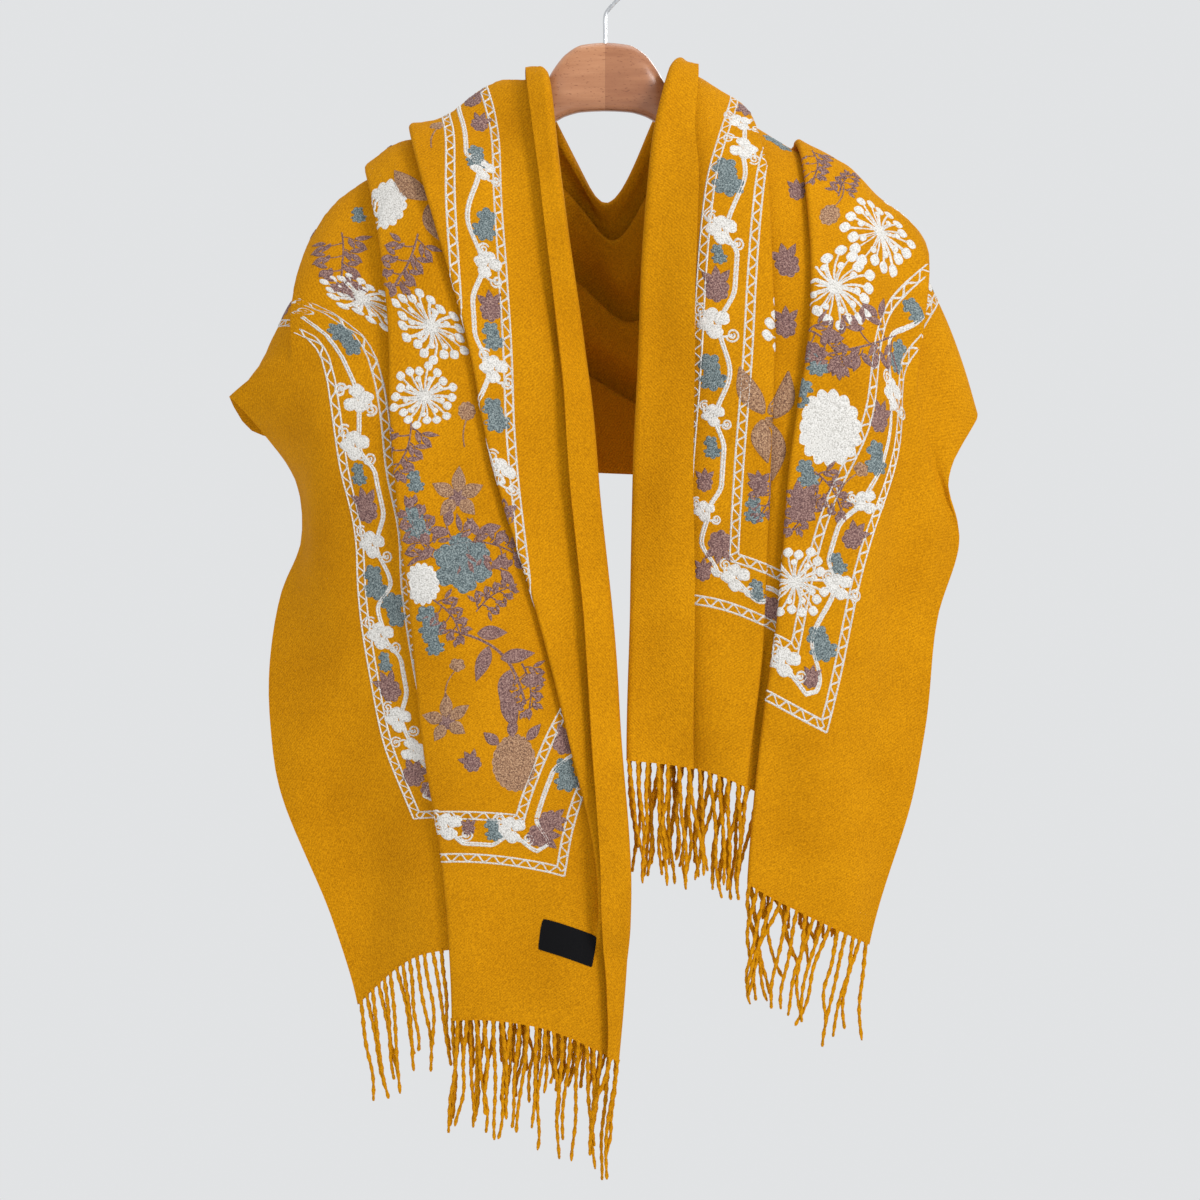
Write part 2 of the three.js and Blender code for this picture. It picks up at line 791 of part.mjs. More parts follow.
// Places across the root band: both sides of each strand, and the corners of the cloth's folds
// that lie between strands.
function rootPlaces(row) {
  const half = strandWidth / 2;
  const places = [{ u: 0, strand: false }];
  for (let k = 0; k < strandsPerHem; k += 1) {
    const middle = ((k + 0.5) / strandsPerHem) * clothWidth;
    places.push({ u: middle - half, strand: true }, { u: middle + half, strand: false });
  }
  places.push({ u: clothWidth, strand: false });
  for (const { u } of row) {
    const k = bracket(places.map((place) => place.u), u);
    const free = Math.min(u - places[k].u, places[k + 1].u - u) > leastRoot;
    if (free && !places[k].strand) places.splice(k + 1, 0, { u, strand: false });
  }
  return places;
}

function fringe(hem, outward) {
  const shown = present([hem]);
  const near = hem + outward * rootGap;
  const far = near + outward * rootBand;
  const places = rootPlaces(clothRow(hem, shown));
  const ends = [near, far].map((at) => {
    const row = clothRow(at, shown);
    const normals = rowNormals(at, shown);
    return places.map(({ u }) => {
      const { j, part } = placeIn(row, u);
      return { point: between(row[j], row[j + 1], part), facing: unit(between(normals[j], normals[j + 1], part)) };
    });
  });
  const positions = [];
  const vertex = (point) => positions.push(...point) / 3 - 1;
  const sides = [clothWall / 2, -clothWall / 2].map((side) =>
    ends.map((row) => row.map(({ point, facing }) => vertex(along(point, facing, side)))),
  );
  const [[frontNear, frontFar], [rearNear, rearFar]] = sides;
  const faces = [];
  const quad = (p, q, r, s) => {
    if (outward > 0) faces.push(p, q, r, p, r, s);
    else faces.push(p, r, q, p, s, r);
  };
  const last = places.length - 1;
  quad(frontNear[0], rearNear[0], rearFar[0], frontFar[0]);
  quad(frontNear[last], frontFar[last], rearFar[last], rearNear[last]);
  for (let j = 0; j < last; j += 1) {
    quad(frontNear[j], frontFar[j], frontFar[j + 1], frontNear[j + 1]);
    quad(rearNear[j], rearNear[j + 1], rearFar[j + 1], rearFar[j]);
    quad(frontNear[j], frontNear[j + 1], rearNear[j + 1], rearNear[j]);
    let rim = [frontFar[j], rearFar[j], rearFar[j + 1], frontFar[j + 1]];
    if (places[j].strand) {
      const corners = rim.map((k) => positions.slice(3 * k, 3 * k + 3));
      const middle = (places[j].u + places[j + 1].u) / 2;
      for (const ring of strandRings(corners, shown, far, outward, middle)) {
        const next = ring.map(vertex);
        rim.forEach((corner, k) => {
          const beside = (k + 1) % rim.length;
          quad(corner, rim[beside], next[beside], next[k]);
        });
        rim = next;
      }
    }
    quad(...rim);
  }
  return geometryOf(positions, faces);
}

// Hanger. Each row is a ring across the wood: how far out from its middle, its top and bottom,
// its depth from front to back and where the middle of that depth lies.
const woodRings = table(
  ["out", "top", "bottom", "depth", "middle"],
  [
    [0, headTop, -141, 28, 4],
    [22, -77, -142, 28, 4],
    [38, -86, -146, 28, 4],
    [49, -99, -152, 28, 5],
    [60, -116.2, -160, 26, 6],
    [100, -139.2, -182, 26, 8],
    [150, -167.2, -206, 27, 8],
    [190, -189.6, -224, 28, 8],
    [206, -200.4, -225, 24, 8],
    [213, -207.4, -221, 14, 8],
  ],
);
const woodSides = 14;
const woodSquareness = 0.75;

function woodRing(row, side) {
  const ring = [];
  const rounded = (value) => Math.sign(value) * Math.abs(value) ** woodSquareness;
  for (let k = 0; k < woodSides; k += 1) {
    const angle = (2 * Math.PI * (k + 0.5)) / woodSides;
    const height = (row.top - row.bottom) / 2;
    const y = row.middle + (row.depth / 2) * rounded(Math.cos(angle));
    ring.push([side * row.out, y, (row.top + row.bottom) / 2 + height * rounded(Math.sin(angle))]);
  }
  return ring;
}

function hangerWood() {
  const right = woodRings.map((row) => woodRing(row, 1));
  const left = woodRings.slice(1).reverse().map((row) => woodRing(row, -1));
  const socketRadius = hookWire / 2 + fitGap;
  const socket = new THREE.CylinderGeometry(socketRadius, socketRadius, 2 * socketDepth, socketSides);
  socket.rotateX(Math.PI / 2);
  socket.translate(0, 0, headTop);
  return geometryFrom(solidOf(loft([...left, ...right])).subtract(solidOf(welded(socket))));
}

function welded(geometry) {
  geometry.deleteAttribute("normal");
  geometry.deleteAttribute("uv");
  return mergeVertices(geometry);
}

// The hook: a straight stem from its socket, a bend to one side and an open loop over the bearing
// point.
function hangerHook() {
  const radius = hookInnerRadius + hookWire / 2;
  const rises = [fitGap - socketDepth, ...stemRises];
  const points = rises.map((rise) => new THREE.Vector3(0, 0, headTop + rise));
  points.push(new THREE.Vector3(hookBendAside, 0, -hookInnerRadius - hookBendBelow * radius));
  for (let degrees = hookStart; degrees <= hookOpening; degrees += hookTurnStep) {
    const angle = (degrees * Math.PI) / 180;
    points.push(new THREE.Vector3(radius * Math.cos(angle), 0, radius * Math.sin(angle) - hookInnerRadius));
  }
  const wire = new THREE.Shape();
  wire.absarc(0, 0, hookWire / 2, 0, 2 * Math.PI, false);
  const path = new THREE.CatmullRomCurve3(points);
  const sweep = { steps: wireSteps, bevelEnabled: false, curveSegments: wireCurveSegments, extrudePath: path };
  return new THREE.ExtrudeGeometry(wire, sweep);
}

const finishes = {
  cloth: new THREE.MeshStandardMaterial({ color: 0xd79210, roughness: 0.95, metalness: 0 }),
  label: new THREE.MeshStandardMaterial({ color: 0x14131a, roughness: 0.7, metalness: 0 }),
  wood: new THREE.MeshStandardMaterial({ color: 0xbe7d55, roughness: 0.45, metalness: 0 }),
  steel: new THREE.MeshStandardMaterial({ color: 0xc4c6c8, roughness: 0.25, metalness: 1 }),
};

const shawl = new THREE.Group();

function piece(name, geometry, finish) {
  const mesh = new THREE.Mesh(geometry, finishes[finish]);
  mesh.name = name;
  shawl.add(mesh);
}

piece("shawl_left_front", clothStretch(0, leftFrontEnd - seamGap / 2), "cloth");
piece("shawl_left_shoulder", clothStretch(leftFrontEnd + seamGap / 2, leftShoulder - seamGap / 2), "cloth");
piece("shawl_back", clothStretch(leftShoulder + seamGap / 2, rightShoulder - seamGap / 2), "cloth");
piece("shawl_right_shoulder", clothStretch(rightShoulder + seamGap / 2, rightFrontStart - seamGap / 2), "cloth");
piece("shawl_right_front", clothStretch(rightFrontStart + seamGap / 2, clothLength), "cloth");
piece("fringe_left", fringe(0, -1), "cloth");
piece("fringe_right", fringe(clothLength, 1), "cloth");
piece("label", label(), "label");
piece("hanger_wood", hangerWood(), "wood");
piece("hanger_hook", hangerHook(), "steel");

export default shawl;
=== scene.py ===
# A fringed, embroidered wool shawl draped over a wooden hanger, with its camera, light and floor.

import math

import bpy
import numpy as np
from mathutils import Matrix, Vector
from mathutils.bvhtree import BVHTree


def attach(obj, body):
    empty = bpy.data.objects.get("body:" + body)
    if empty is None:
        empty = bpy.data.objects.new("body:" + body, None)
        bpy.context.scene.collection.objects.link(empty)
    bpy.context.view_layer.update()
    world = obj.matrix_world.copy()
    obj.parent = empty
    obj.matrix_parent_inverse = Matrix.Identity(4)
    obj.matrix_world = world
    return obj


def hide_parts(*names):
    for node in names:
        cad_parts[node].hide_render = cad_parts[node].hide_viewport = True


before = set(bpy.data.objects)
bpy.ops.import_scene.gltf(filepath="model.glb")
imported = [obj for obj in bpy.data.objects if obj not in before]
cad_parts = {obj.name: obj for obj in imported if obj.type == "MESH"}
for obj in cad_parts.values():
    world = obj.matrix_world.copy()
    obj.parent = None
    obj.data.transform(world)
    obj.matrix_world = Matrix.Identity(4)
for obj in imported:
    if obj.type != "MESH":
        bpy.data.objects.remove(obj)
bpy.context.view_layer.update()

# Sizes are in millimetres up to the point where a mesh is made.
UNIT = 0.001

CLOTH_WIDTH = 700
CLOTH_LENGTH = 2000
CLOTH_WALL = 1.8

FRINGE_LENGTH = 112
FRINGE_SPREAD = 10
STRANDS_PER_HEM = 74
STRAND_RADIUS = 2.05
STRAND_PITCH = 11
STRAND_SWAY = 7

LABEL_WIDTH = 56
LABEL_HEIGHT = 31
LABEL_WALL = 0.5
LABEL_ALONG = 90
LABEL_ACROSS = 96
LABEL_GAP = 0.45

HEAD_TOP = -75
HOOK_WIRE = 4
HOOK_INNER_RADIUS = 18
HOOK_START = -55
HOOK_END = 215
HOOK_BEND = 1.5
SOCKET_DEPTH = 16

TURN_OVER = 1325


def table(columns, rows):
    return [dict(zip(columns, row)) for row in rows]


# The drape without its pleats. Each row is a line across the cloth: from the fold of the collar,
# over an inner and an outer point, to the cloth's outer edge. Rows run from the left hem over
# the left front, round the back and down the right front. The first and the last lie past the hems.
SECTIONS = table(("along", "fold", "inner", "outer", "edge"), [
    (-135, (-1, -52, -1187), (-72, -60, -1150), (-178, -50, -1155), (-212, -30, -1193)),
    (-90, (0, -52, -1142), (-71, -60, -1104), (-176, -50, -1109), (-214, -30, -1147)),
    (0, (10, -52, -1051), (-71, -60, -1016), (-171, -54, -1019), (-225, -34, -1069)),
    (143, (19, -54, -907), (-67, -64, -876), (-180, -58, -873), (-263, -26, -920)),
    (285, (12, -56, -764), (-76, -68, -746), (-200, -60, -746), (-319, -14, -764)),
    (428, (3, -58, -621), (-100, -72, -605), (-233, -58, -601), (-316, 24, -605)),
    (485, (-3, -60, -565), (-109, -74, -548), (-247, -58, -544), (-299, 32, -552)),
    (540, (-9, -62, -510), (-124, -76, -489), (-266, -58, -484), (-305, 30, -493)),
    (581, (-12, -63, -468), (-133, -76, -444), (-278, -54, -437), (-335, 16, -451)),
    (622, (-15, -64, -427), (-138, -74, -391), (-282, -44, -379), (-362, 8, -418)),
    (676, (-21, -66, -372), (-143, -70, -325), (-287, -26, -322), (-350, 48, -446)),
    (736, (-29, -66, -313), (-143, -58, -258), (-282, 4, -288), (-304, 66, -459)),
    (836, (-41, -58, -214), (-117, -22, -168), (-202, 16, -189), (-199, 74, -478)),
    (936, (-54, -14, -111), (-88, 16, -119), (-107, 66, -225), (-95, 79, -484)),
    (975, (-59, 22, -115), (-72, 42, -158), (-72, 74, -270), (-54, 80, -486)),
    (1031, (-41, 48, -166), (-33, 70, -225), (-20, 80, -339), (7, 81, -489)),
    (1135, (2, 66, -225), (16, 76, -282), (45, 81, -368), (105, 80, -491)),
    (1235, (47, 44, -157), (64, 70, -221), (130, 78, -320), (210, 76, -484)),
    (1287, (60, 24, -112), (84, 46, -165), (141, 66, -245), (253, 71, -476)),
    (1325, (57, -12, -105), (96, 20, -128), (147, 52, -187), (285, 66, -467)),
    (1387, (46, -46, -161), (124, -14, -161), (219, 14, -201), (323, 50, -455)),
    (1471, (39, -58, -237), (128, -52, -225), (261, -14, -249), (360, -6, -436)),
    (1541, (35, -60, -308), (124, -66, -303), (233, -54, -325), (328, -32, -493)),
    (1620, (33, -60, -387), (124, -70, -389), (233, -62, -425), (341, -20, -556)),
    (1715, (29, -58, -482), (119, -70, -487), (228, -62, -531), (319, -32, -626)),
    (1857, (26, -56, -624), (109, -66, -632), (212, -60, -683), (305, -26, -743)),
    (2000, (23, -54, -766), (102, -62, -778), (185, -58, -819), (274, -36, -863)),
    (2090, (26, -54, -856), (94, -60, -867), (169, -56, -907), (248, -38, -946)),
    (2215, (30, -54, -981), (94, -60, -991), (160, -54, -1030), (232, -38, -1068)),
])

# The strip of the collar that is turned over to the outside, and how far it stands off.
COLLAR = table(("along", "width", "gap"), [
    (-90, 13, 10),
    (0, 13, 10),
    (57, 19, 11),
    (143, 31, 12),
    (622, 29, 13),
    (936, 29, 12),
    (1325, 29, 12),
    (1387, 36, 12),
    (1471, 49, 13),
    (1620, 54, 13),
    (1857, 61, 13),
    (2090, 63, 12),
])

# The pleats. One that laps outward has its collar side on top, the return its outer side. Crest is
# how far its visible edge lies from the collar's fold, share its part of the spare cloth, radius that
# of its turns, and step how far the cloth past it is shifted along.
PLEAT_COLUMNS = ("along", "crest", "share", "radius", "step")
PLEATS = {
    "flap": table(PLEAT_COLUMNS, [
        (95, 30, 0, 2.2, 0),
        (143, 31, 0.03, 2.2, 0),
        (190, 34, 0.06, 2.2, 0),
        (285, 49, 0.17, 2.4, 0),
        (428, 76, 0.42, 2.6, 0),
        (540, 99, 0.52, 2.8, 0),
        (622, 114, 0.5, 2.8, 0),
        (736, 144, 0.44, 3.4, 0),
        (836, 165, 0.4, 4.2, 0),
        (936, 124, 0.34, 4, 0),
        (1135, 95, 0.34, 4.5, 0),
        (1325, 86, 0.3, 3.2, 0),
        (1387, 103, 0.38, 2.6, 0),
        (1471, 116, 0.46, 2.6, 0),
        (1620, 127, 0.5, 2.6, 0),
        (1715, 128, 0.5, 2.6, 0),
        (1857, 127, 0.5, 2.6, 0),
        (2000, 114, 0.5, 2.6, 0),
        (2120, 103, 0.5, 2.6, 0),
    ]),
    "fall": table(PLEAT_COLUMNS, [
        (-90, 157, 1, 2.6, 66),
        (0, 162, 1, 2.6, 66),
        (143, 177, 1, 2.8, 48),
        (285, 186, 0.83, 3, 27),
        (428, 190, 0.58, 3.4, 10),
        (540, 192, 0.48, 3.4, 0),
        (622, 194, 0.4, 3.4, 0),
        (722, 201, 0.36, 3.4, 0),
        (836, 220, 0.36, 3.5, 0),
        (936, 209, 0.36, 4, 0),
        (1135, 181, 0.36, 4.5, 0),
        (1235, 165, 0.2, 4, 0),
        (1325, 150, 0, 3, 0),
    ]),
    "return": table(PLEAT_COLUMNS, [
        (1325, 168, 0, 3, 0),
        (1356, 156, 0.07, 3, 0),
        (1387, 147, 0.24, 3, 0),
        (1430, 150, 0.46, 3, 0),
        (1471, 154, 0.46, 3, 0),
        (1541, 162, 0.46, 3.2, 10),
        (1620, 156, 0.46, 3.4, 19),
        (1715, 150, 0.48, 3.4, 43),
        (1857, 139, 0.5, 3.4, 66),
        (2000, 128, 0.5, 3.4, 86),
        (2120, 118, 0.5, 3.4, 86),
    ]),
    "arm": table(PLEAT_COLUMNS, [
        (622, 297, 0, 3, 0),
        (676, 290, 0.1, 3, 0),
        (736, 285, 0.18, 3.5, 0),
        (836, 285, 0.24, 3.5, 0),
        (936, 295, 0.3, 4, 0),
        (1135, 266, 0.3, 4.5, 0),
        (1325, 276, 0.35, 4, 0),
        (1387, 285, 0.16, 3.5, 0),
        (1471, 295, 0.08, 3, 0),
        (1541, 310, 0, 3, 0),
    ]),
}

# Soft crowns and troughs along the cloth: how far in from the collar's fold, width and height.
CROWN_COLUMNS = ("along", "centre", "width", "height")
CROWNS = [
    table(CROWN_COLUMNS, [
        (0, 105, 67, 8),
        (285, 124, 67, 8),
        (540, 157, 48, 5),
        (665, 162, 38, 0),
    ]),
    table(CROWN_COLUMNS, [
        (0, 238, 57, -6),
        (143, 238, 57, -7),
        (285, 257, 57, -5),
        (428, 276, 48, -3),
        (540, 285, 38, 0),
    ]),
    table(CROWN_COLUMNS, [
        (1500, 250, 45, 0),
        (1620, 245, 45, 7),
        (1857, 220, 45, 8),
        (2090, 200, 45, 4),
    ]),
]

# The cloth as it lies flat, measured across from the collar's edge and along from the left hem.
# The embroidered frame is a band between two rectangles.
FRAME_SIDE = 114
FRAME_END = 152
FRAME_BAND = 54
EDGE_PAIR = 8
ZIGZAG_PITCH = 15
ZIGZAG_STEP = 1.5
ZIGZAG_INSET = 0.6

# Embroidery threads: width and height of a line of chain stitch, and the length of one stitch.
CHAIN_WIDTH = 2.5
CHAIN_HEIGHT = 0.9
CHAIN_LENGTH = 4
FINE_WIDTH = 2.1
THICK_WIDTH = 3.0
RIB_WIDTH = 1.7
STITCH_STEP = 1.3

# Flowers and leaves that show from the front: how far to the right of the hanger's middle and how
# far below the hook each lies in that view, its size, and how far it leans from upright.
BAND_FLOWERS = table(("kind", "right", "below", "size", "lean"), [
    ("bell", -114, 167, 26, 20),
    ("tuft", -122, 195, 30, 0),
    ("blossom", -104, 215, 30, 0),
    ("tuft", -107, 264, 34, 10),
    ("blossom", -109, 299, 32, 0),
    ("bell", -104, 341, 30, -20),
    ("tuft", -94, 371, 28, 10),
    ("blossom", -102, 398, 32, 0),
    ("tuft", -99, 442, 34, 0),
    ("blossom", -90, 496, 32, 20),
    ("bell", -86, 534, 28, 0),
    ("blossom", -77, 578, 26, 180),
    ("blossom", -285, 323, 32, 0),
    ("tuft", -286, 429, 30, 0),
    ("blossom", -267, 471, 34, 0),
    ("tuft", -253, 496, 22, 0),
    ("bell", -253, 528, 34, -20),
    ("blossom", -243, 564, 32, 0),
    ("tuft", -233, 598, 34, 0),
    ("blossom", -214, 651, 32, 0),
    ("tuft", -222, 674, 20, 0),
    ("bell", -206, 700, 32, -30),
    ("blossom", -196, 730, 32, 0),
    ("bell", -180, 782, 34, 20),
    ("blossom", -147, 816, 34, 0),
    ("bell", -124, 805, 18, 0),
    ("tuft", -104, 822, 24, 0),
    ("blossom", -86, 819, 32, 0),
    ("bell", -52, 824, 28, 90),
    ("tuft", -39, 782, 34, 0),
    ("bell", 118, 143, 26, 0),
    ("blossom", 113, 161, 30, 0),
    ("tuft", 112, 213, 42, 10),
    ("blossom", 112, 265, 34, 0),
    ("tuft", 97, 287, 20, 0),
    ("bell", 106, 317, 34, 0),
    ("blossom", 103, 353, 36, 0),
    ("tuft", 99, 398, 36, 0),
    ("blossom", 103, 440, 26, 0),
    ("tuft", 101, 469, 22, 0),
    ("bell", 94, 502, 22, 0),
    ("blossom", 94, 531, 24, 0),
    ("bell", 93, 587, 22, 0),
    ("blossom", 124, 594, 32, 0),
    ("tuft", 143, 605, 22, 0),
    ("tuft", 294, 339, 28, 0),
    ("blossom", 275, 422, 38, 0),
    ("tuft", 258, 478, 34, 0),
    ("blossom", 248, 522, 28, 0),
    ("bell", 238, 555, 28, 20),
    ("tuft", 219, 578, 22, 0),
    ("blossom", 224, 603, 30, 0),
    ("tuft", 203, 654, 36, 0),
    ("bell", 195, 687, 22, 0),
    ("blossom", 170, 674, 34, 0),
])
FIELD_FLOWERS = table(("kind", "right", "below", "size", "lean"), [
    ("foliage", -168, 235, 92, 12),
    ("bud", -159, 171, 34, 0),
    ("round", -206, 239, 62, 0),
    ("tuft", -232, 249, 22, 0),
    ("spray", -253, 292, 86, 165),
    ("spray", -190, 296, 74, 190),
    ("umbel", -222, 330, 68, 0),
    ("umbel", -160, 358, 76, 0),
    ("umbel", -172, 422, 66, 0),
    ("berry", -132, 446, 34, 0),
    ("cross", -140, 517, 56, 0),
    ("tuft", -181, 502, 22, 0),
    ("tuft", -181, 541, 34, 0),
    ("spray", -196, 476, 62, 200),
    ("cluster", -136, 580, 74, 0),
    ("spray", -112, 566, 70, 95),
    ("spray", -176, 548, 60, -25),
    ("round", -176, 600, 44, 0),
    ("tuft", -168, 636, 36, 0),
    ("spray", -150, 634, 52, 150),
    ("spray", -106, 612, 44, 60),
    ("tuft", -167, 656, 26, 0),
    ("branch", -112, 676, 112, 125),
    ("spray", -78, 700, 56, 175),
    ("bud", -146, 684, 34, 40),
    ("cross", -153, 730, 56, 0),
    ("leaf", -96, 715, 46, -15),
    ("pod", -88, 765, 78, 0),
    ("bell", -128, 770, 24, -30),
    ("bud", 171, 182, 36, 0),
    ("spray", 198, 202, 56, 175),
    ("bell", 183, 226, 26, 0),
    ("berry", 220, 239, 44, 180),
    ("spray", 232, 218, 44, 60),
    ("umbel", 264, 267, 84, 0),
    ("umbel", 218, 317, 86, 0),
    ("umbel", 179, 596, 72, 0),
    ("bell", 173, 294, 34, 0),
    ("bell", 171, 352, 30, 0),
    ("spray", 242, 366, 94, -125),
    ("spray", 210, 375, 60, 150),
    ("tuft", 199, 388, 26, 0),
    ("tuft", 186, 418, 30, 0),
    ("round", 214, 451, 78, 0),
    ("foliage", 150, 436, 82, 8),
    ("bell", 146, 505, 24, 0),
    ("tuft", 140, 528, 26, 0),
    ("spray", 150, 516, 48, 190),
    ("tuft", 192, 494, 28, 0),
    ("bell", 186, 523, 40, 10),
    ("spray", 214, 512, 52, 160),
    ("bud", 240, 497, 32, 20),
    ("spray", 185, 531, 48, 200),
])

# Where the view of the front is taken from.
VIEW_CENTRE = (-5, -55, -614.5)
VIEW_DISTANCE = 3000
VIEW_WIDTH = 1140
SENSOR = 36


def hermite(part, step, start, end, slope_start, slope_end):
    rise = part * part * (3 - 2 * part)
    leave = part * (1 - part) * (1 - part)
    arrive = part * part * (part - 1)
    return start + (end - start) * rise + step * (leave * slope_start + arrive * slope_end)


def monotone(rows, column):
    """A curve through one column of a table, which never overshoots it."""
    knots = np.array([row["along"] for row in rows], float)
    values = np.array([row[column] for row in rows], float)
    steps = np.diff(knots)
    slopes = np.diff(values) / steps
    tangents = np.zeros(len(knots))
    for k in range(1, len(knots) - 1):
        before = slopes[k - 1]
        after = slopes[k]
        if before * after > 0:
            near = 2 * steps[k] + steps[k - 1]
            far = steps[k] + 2 * steps[k - 1]
            tangents[k] = (near + far) / (near / before + far / after)

    def value(along):
        place = np.clip(along, knots[0], knots[-1])
        k = np.clip(np.searchsorted(knots, place, side="right") - 1, 0, len(knots) - 2)
        part = (place - knots[k]) / steps[k]
        return hermite(part, steps[k], values[k], values[k + 1], tangents[k], tangents[k + 1])

    return value


def spline(knots, points, places):
    """A smooth curve through points, with its tangents from the weighted neighbours."""
    steps = np.diff(knots)[:, None]
    slopes = np.diff(points, axis=0) / steps
    inside = (slopes[:-1] * steps[1:] + slopes[1:] * steps[:-1]) / (steps[:-1] + steps[1:])
    first = 1.5 * slopes[0] - 0.5 * inside[0]
    last = 1.5 * slopes[-1] - 0.5 * inside[-1]
    tangents = np.vstack([first, inside, last])
    k = np.clip(np.searchsorted(knots, places, side="right") - 1, 0, len(knots) - 2)
    part = ((places - knots[k]) / steps[k, 0])[:, None]
    return hermite(part, steps[k], points[k], points[k + 1], tangents[k], tangents[k + 1])


def smooth(part):
    inside = np.clip(part, 0, 1)
    return inside * inside * (3 - 2 * inside)


def unit(vectors):
    return vectors / np.linalg.norm(vectors, axis=-1, keepdims=True)


def run_of(points):
    """How far along a line each of its points lies."""
    return np.concatenate([[0], np.cumsum(np.linalg.norm(np.diff(points, axis=0), axis=1))])


def resampled(points, places):
    run = run_of(points)
    return np.stack([np.interp(places, run, points[:, axis]) for axis in range(points.shape[1])], axis=1)


# The base surface: one smooth line for each section, in equal shares of its length.

BASE_ROWS = 150
BASE_COLUMNS = 60
BASE_START = SECTIONS[0]["along"]
BASE_END = SECTIONS[-1]["along"]
CHORD_POWER = 0.8
LINE_STEPS = 120
SOFTENINGS = 4
TINY = 0.001


def facing_of(points):
    """The way that a grid of points faces."""
    padded = np.pad(points, ((1, 1), (1, 1), (0, 0)), mode="edge")
    down = padded[2:, 1:-1] - padded[:-2, 1:-1]
    across = padded[1:-1, 2:] - padded[1:-1, :-2]
    return unit(np.cross(down, across))


def softened(facing):
    padded = np.pad(facing, ((1, 1), (1, 1), (0, 0)), mode="edge")
    beside = padded[2:, 1:-1] + padded[:-2, 1:-1] + padded[1:-1, 2:] + padded[1:-1, :-2]
    return unit(2 * facing + beside)


def base_surface():
    knots = np.array([row["along"] for row in SECTIONS], float)
    names = ("fold", "inner", "outer", "edge")
    control = np.array([[row[name] for name in names] for row in SECTIONS], float)
    places = np.linspace(BASE_START, BASE_END, BASE_ROWS + 1)
    lines = spline(knots, control.reshape(len(knots), -1), places).reshape(-1, 4, 3)
    points = []
    lengths = []
    for line in lines:
        chords = np.linalg.norm(np.diff(line, axis=0), axis=1) ** CHORD_POWER
        bends = np.concatenate([[0], np.cumsum(chords)])
        fine = spline(bends, line, np.linspace(0, bends[-1], LINE_STEPS + 1))
        length = run_of(fine)[-1]
        points.append(resampled(fine, np.linspace(0, length, BASE_COLUMNS + 1)))
        lengths.append(length)
    points = np.array(points)
    facing = facing_of(points)
    for _ in range(SOFTENINGS):
        facing = softened(facing)
    return points, facing, np.array(lengths)


base_points, base_facing, base_lengths = base_surface()


def base_row(along):
    row = (np.asarray(along, float) - BASE_START) / (BASE_END - BASE_START) * BASE_ROWS
    return np.clip(row, 0, BASE_ROWS - TINY)


def base_length(along):
    return float(np.interp(base_row(along), np.arange(BASE_ROWS + 1), base_lengths))


def look_up(grid, along, share):
    row = base_row(along)
    column = np.clip(share * BASE_COLUMNS, 0, BASE_COLUMNS - TINY)
    i = row.astype(int)
    j = column.astype(int)
    down = (row - i)[:, None]
    right = (column - j)[:, None]
    near = grid[i, j] * (1 - right) + grid[i, j + 1] * right
    far = grid[i + 1, j] * (1 - right) + grid[i + 1, j + 1] * right
    return near * (1 - down) + far * down


# The pleats of one line across the cloth.

HALF_TURN = math.pi
SHORTEST_RUN = 2
COLLAR_CLEARANCE = 7
EDGE_CLEARANCE = 14
MOST_OF_SHARE = 1.8
RAMP_LENGTH = 60
RAMP_MARGIN = 5
TAIL_LENGTH = 30
LEAST_STEP = 0.7
HALVINGS = 24
SHARE_PASSES = 4
LEAST_LEFT = 0.01
# How finely a line across the cloth is drawn: segments in each part of it.
STRIP_STEPS = 6
ROLL_STEPS = 10
LEAD_STEPS = (16, 20, 26)
TURN_STEPS = 8
LAYER_STEPS = (12, 14, 8)
TAIL_STEPS = 18

collar_width = monotone(COLLAR, "width")
collar_gap = monotone(COLLAR, "gap")
pleat_curves = {
    name: {column: monotone(rows, column) for column in PLEAT_COLUMNS[1:]}
    for name, rows in PLEATS.items()
}
crown_curves = [{column: monotone(rows, column) for column in CROWN_COLUMNS[1:]} for rows in CROWNS]


def fold_of(radius, depth):
    """A pleat's turn and straight run. Where it has little cloth, it turns by less than half."""
    if depth >= radius * (HALF_TURN + SHORTEST_RUN):
        return HALF_TURN, depth - HALF_TURN * radius
    run = SHORTEST_RUN * radius
    low = 0
    high = HALF_TURN
    for _ in range(HALVINGS):
        middle = (low + high) / 2
        used = 2 * radius * (middle - math.sin(middle)) + run * (1 - math.cos(middle))
        if used < 2 * depth:
            low = middle
        else:
            high = middle
    return (low + high) / 2, run


def share_out(folds, spare):
    """The spare cloth goes to the pleats by their shares, as far as each has room."""
    left = spare
    for fold in folds:
        fold["limit"] = min(fold["room"], MOST_OF_SHARE * fold["share"] * spare)
    for _ in range(SHARE_PASSES):
        free = [fold for fold in folds if fold["depth"] < fold["limit"] - LEAST_LEFT]
        shares = sum(fold["share"] for fold in free)
        if shares == 0:
            break
        given = left / shares
        for fold in free:
            more = min(given * fold["share"], fold["limit"] - fold["depth"])
            fold["depth"] += more
            left -= more


def shape_fold(fold):
    """Where a pleat starts to turn, where it has turned back, and how high it lifts the cloth."""
    radius = fold["radius"]
    turn, run = fold_of(radius, fold["depth"])
    bulge = radius * math.sin(min(turn, HALF_TURN / 2))
    lift = 2 * radius * (1 - math.cos(turn)) + run * math.sin(turn)
    advance = 2 * radius * math.sin(turn) + run * math.cos(turn)
    if fold["outward"]:
        start = fold["crest"] - bulge
        reach = min(start, start + advance - bulge)
    else:
        start = fold["crest"] + bulge - advance
        reach = max(start + advance, start + bulge)
    fold.update(turn=turn, run=run, lift=lift, start=start, end=start + advance, reach=reach)


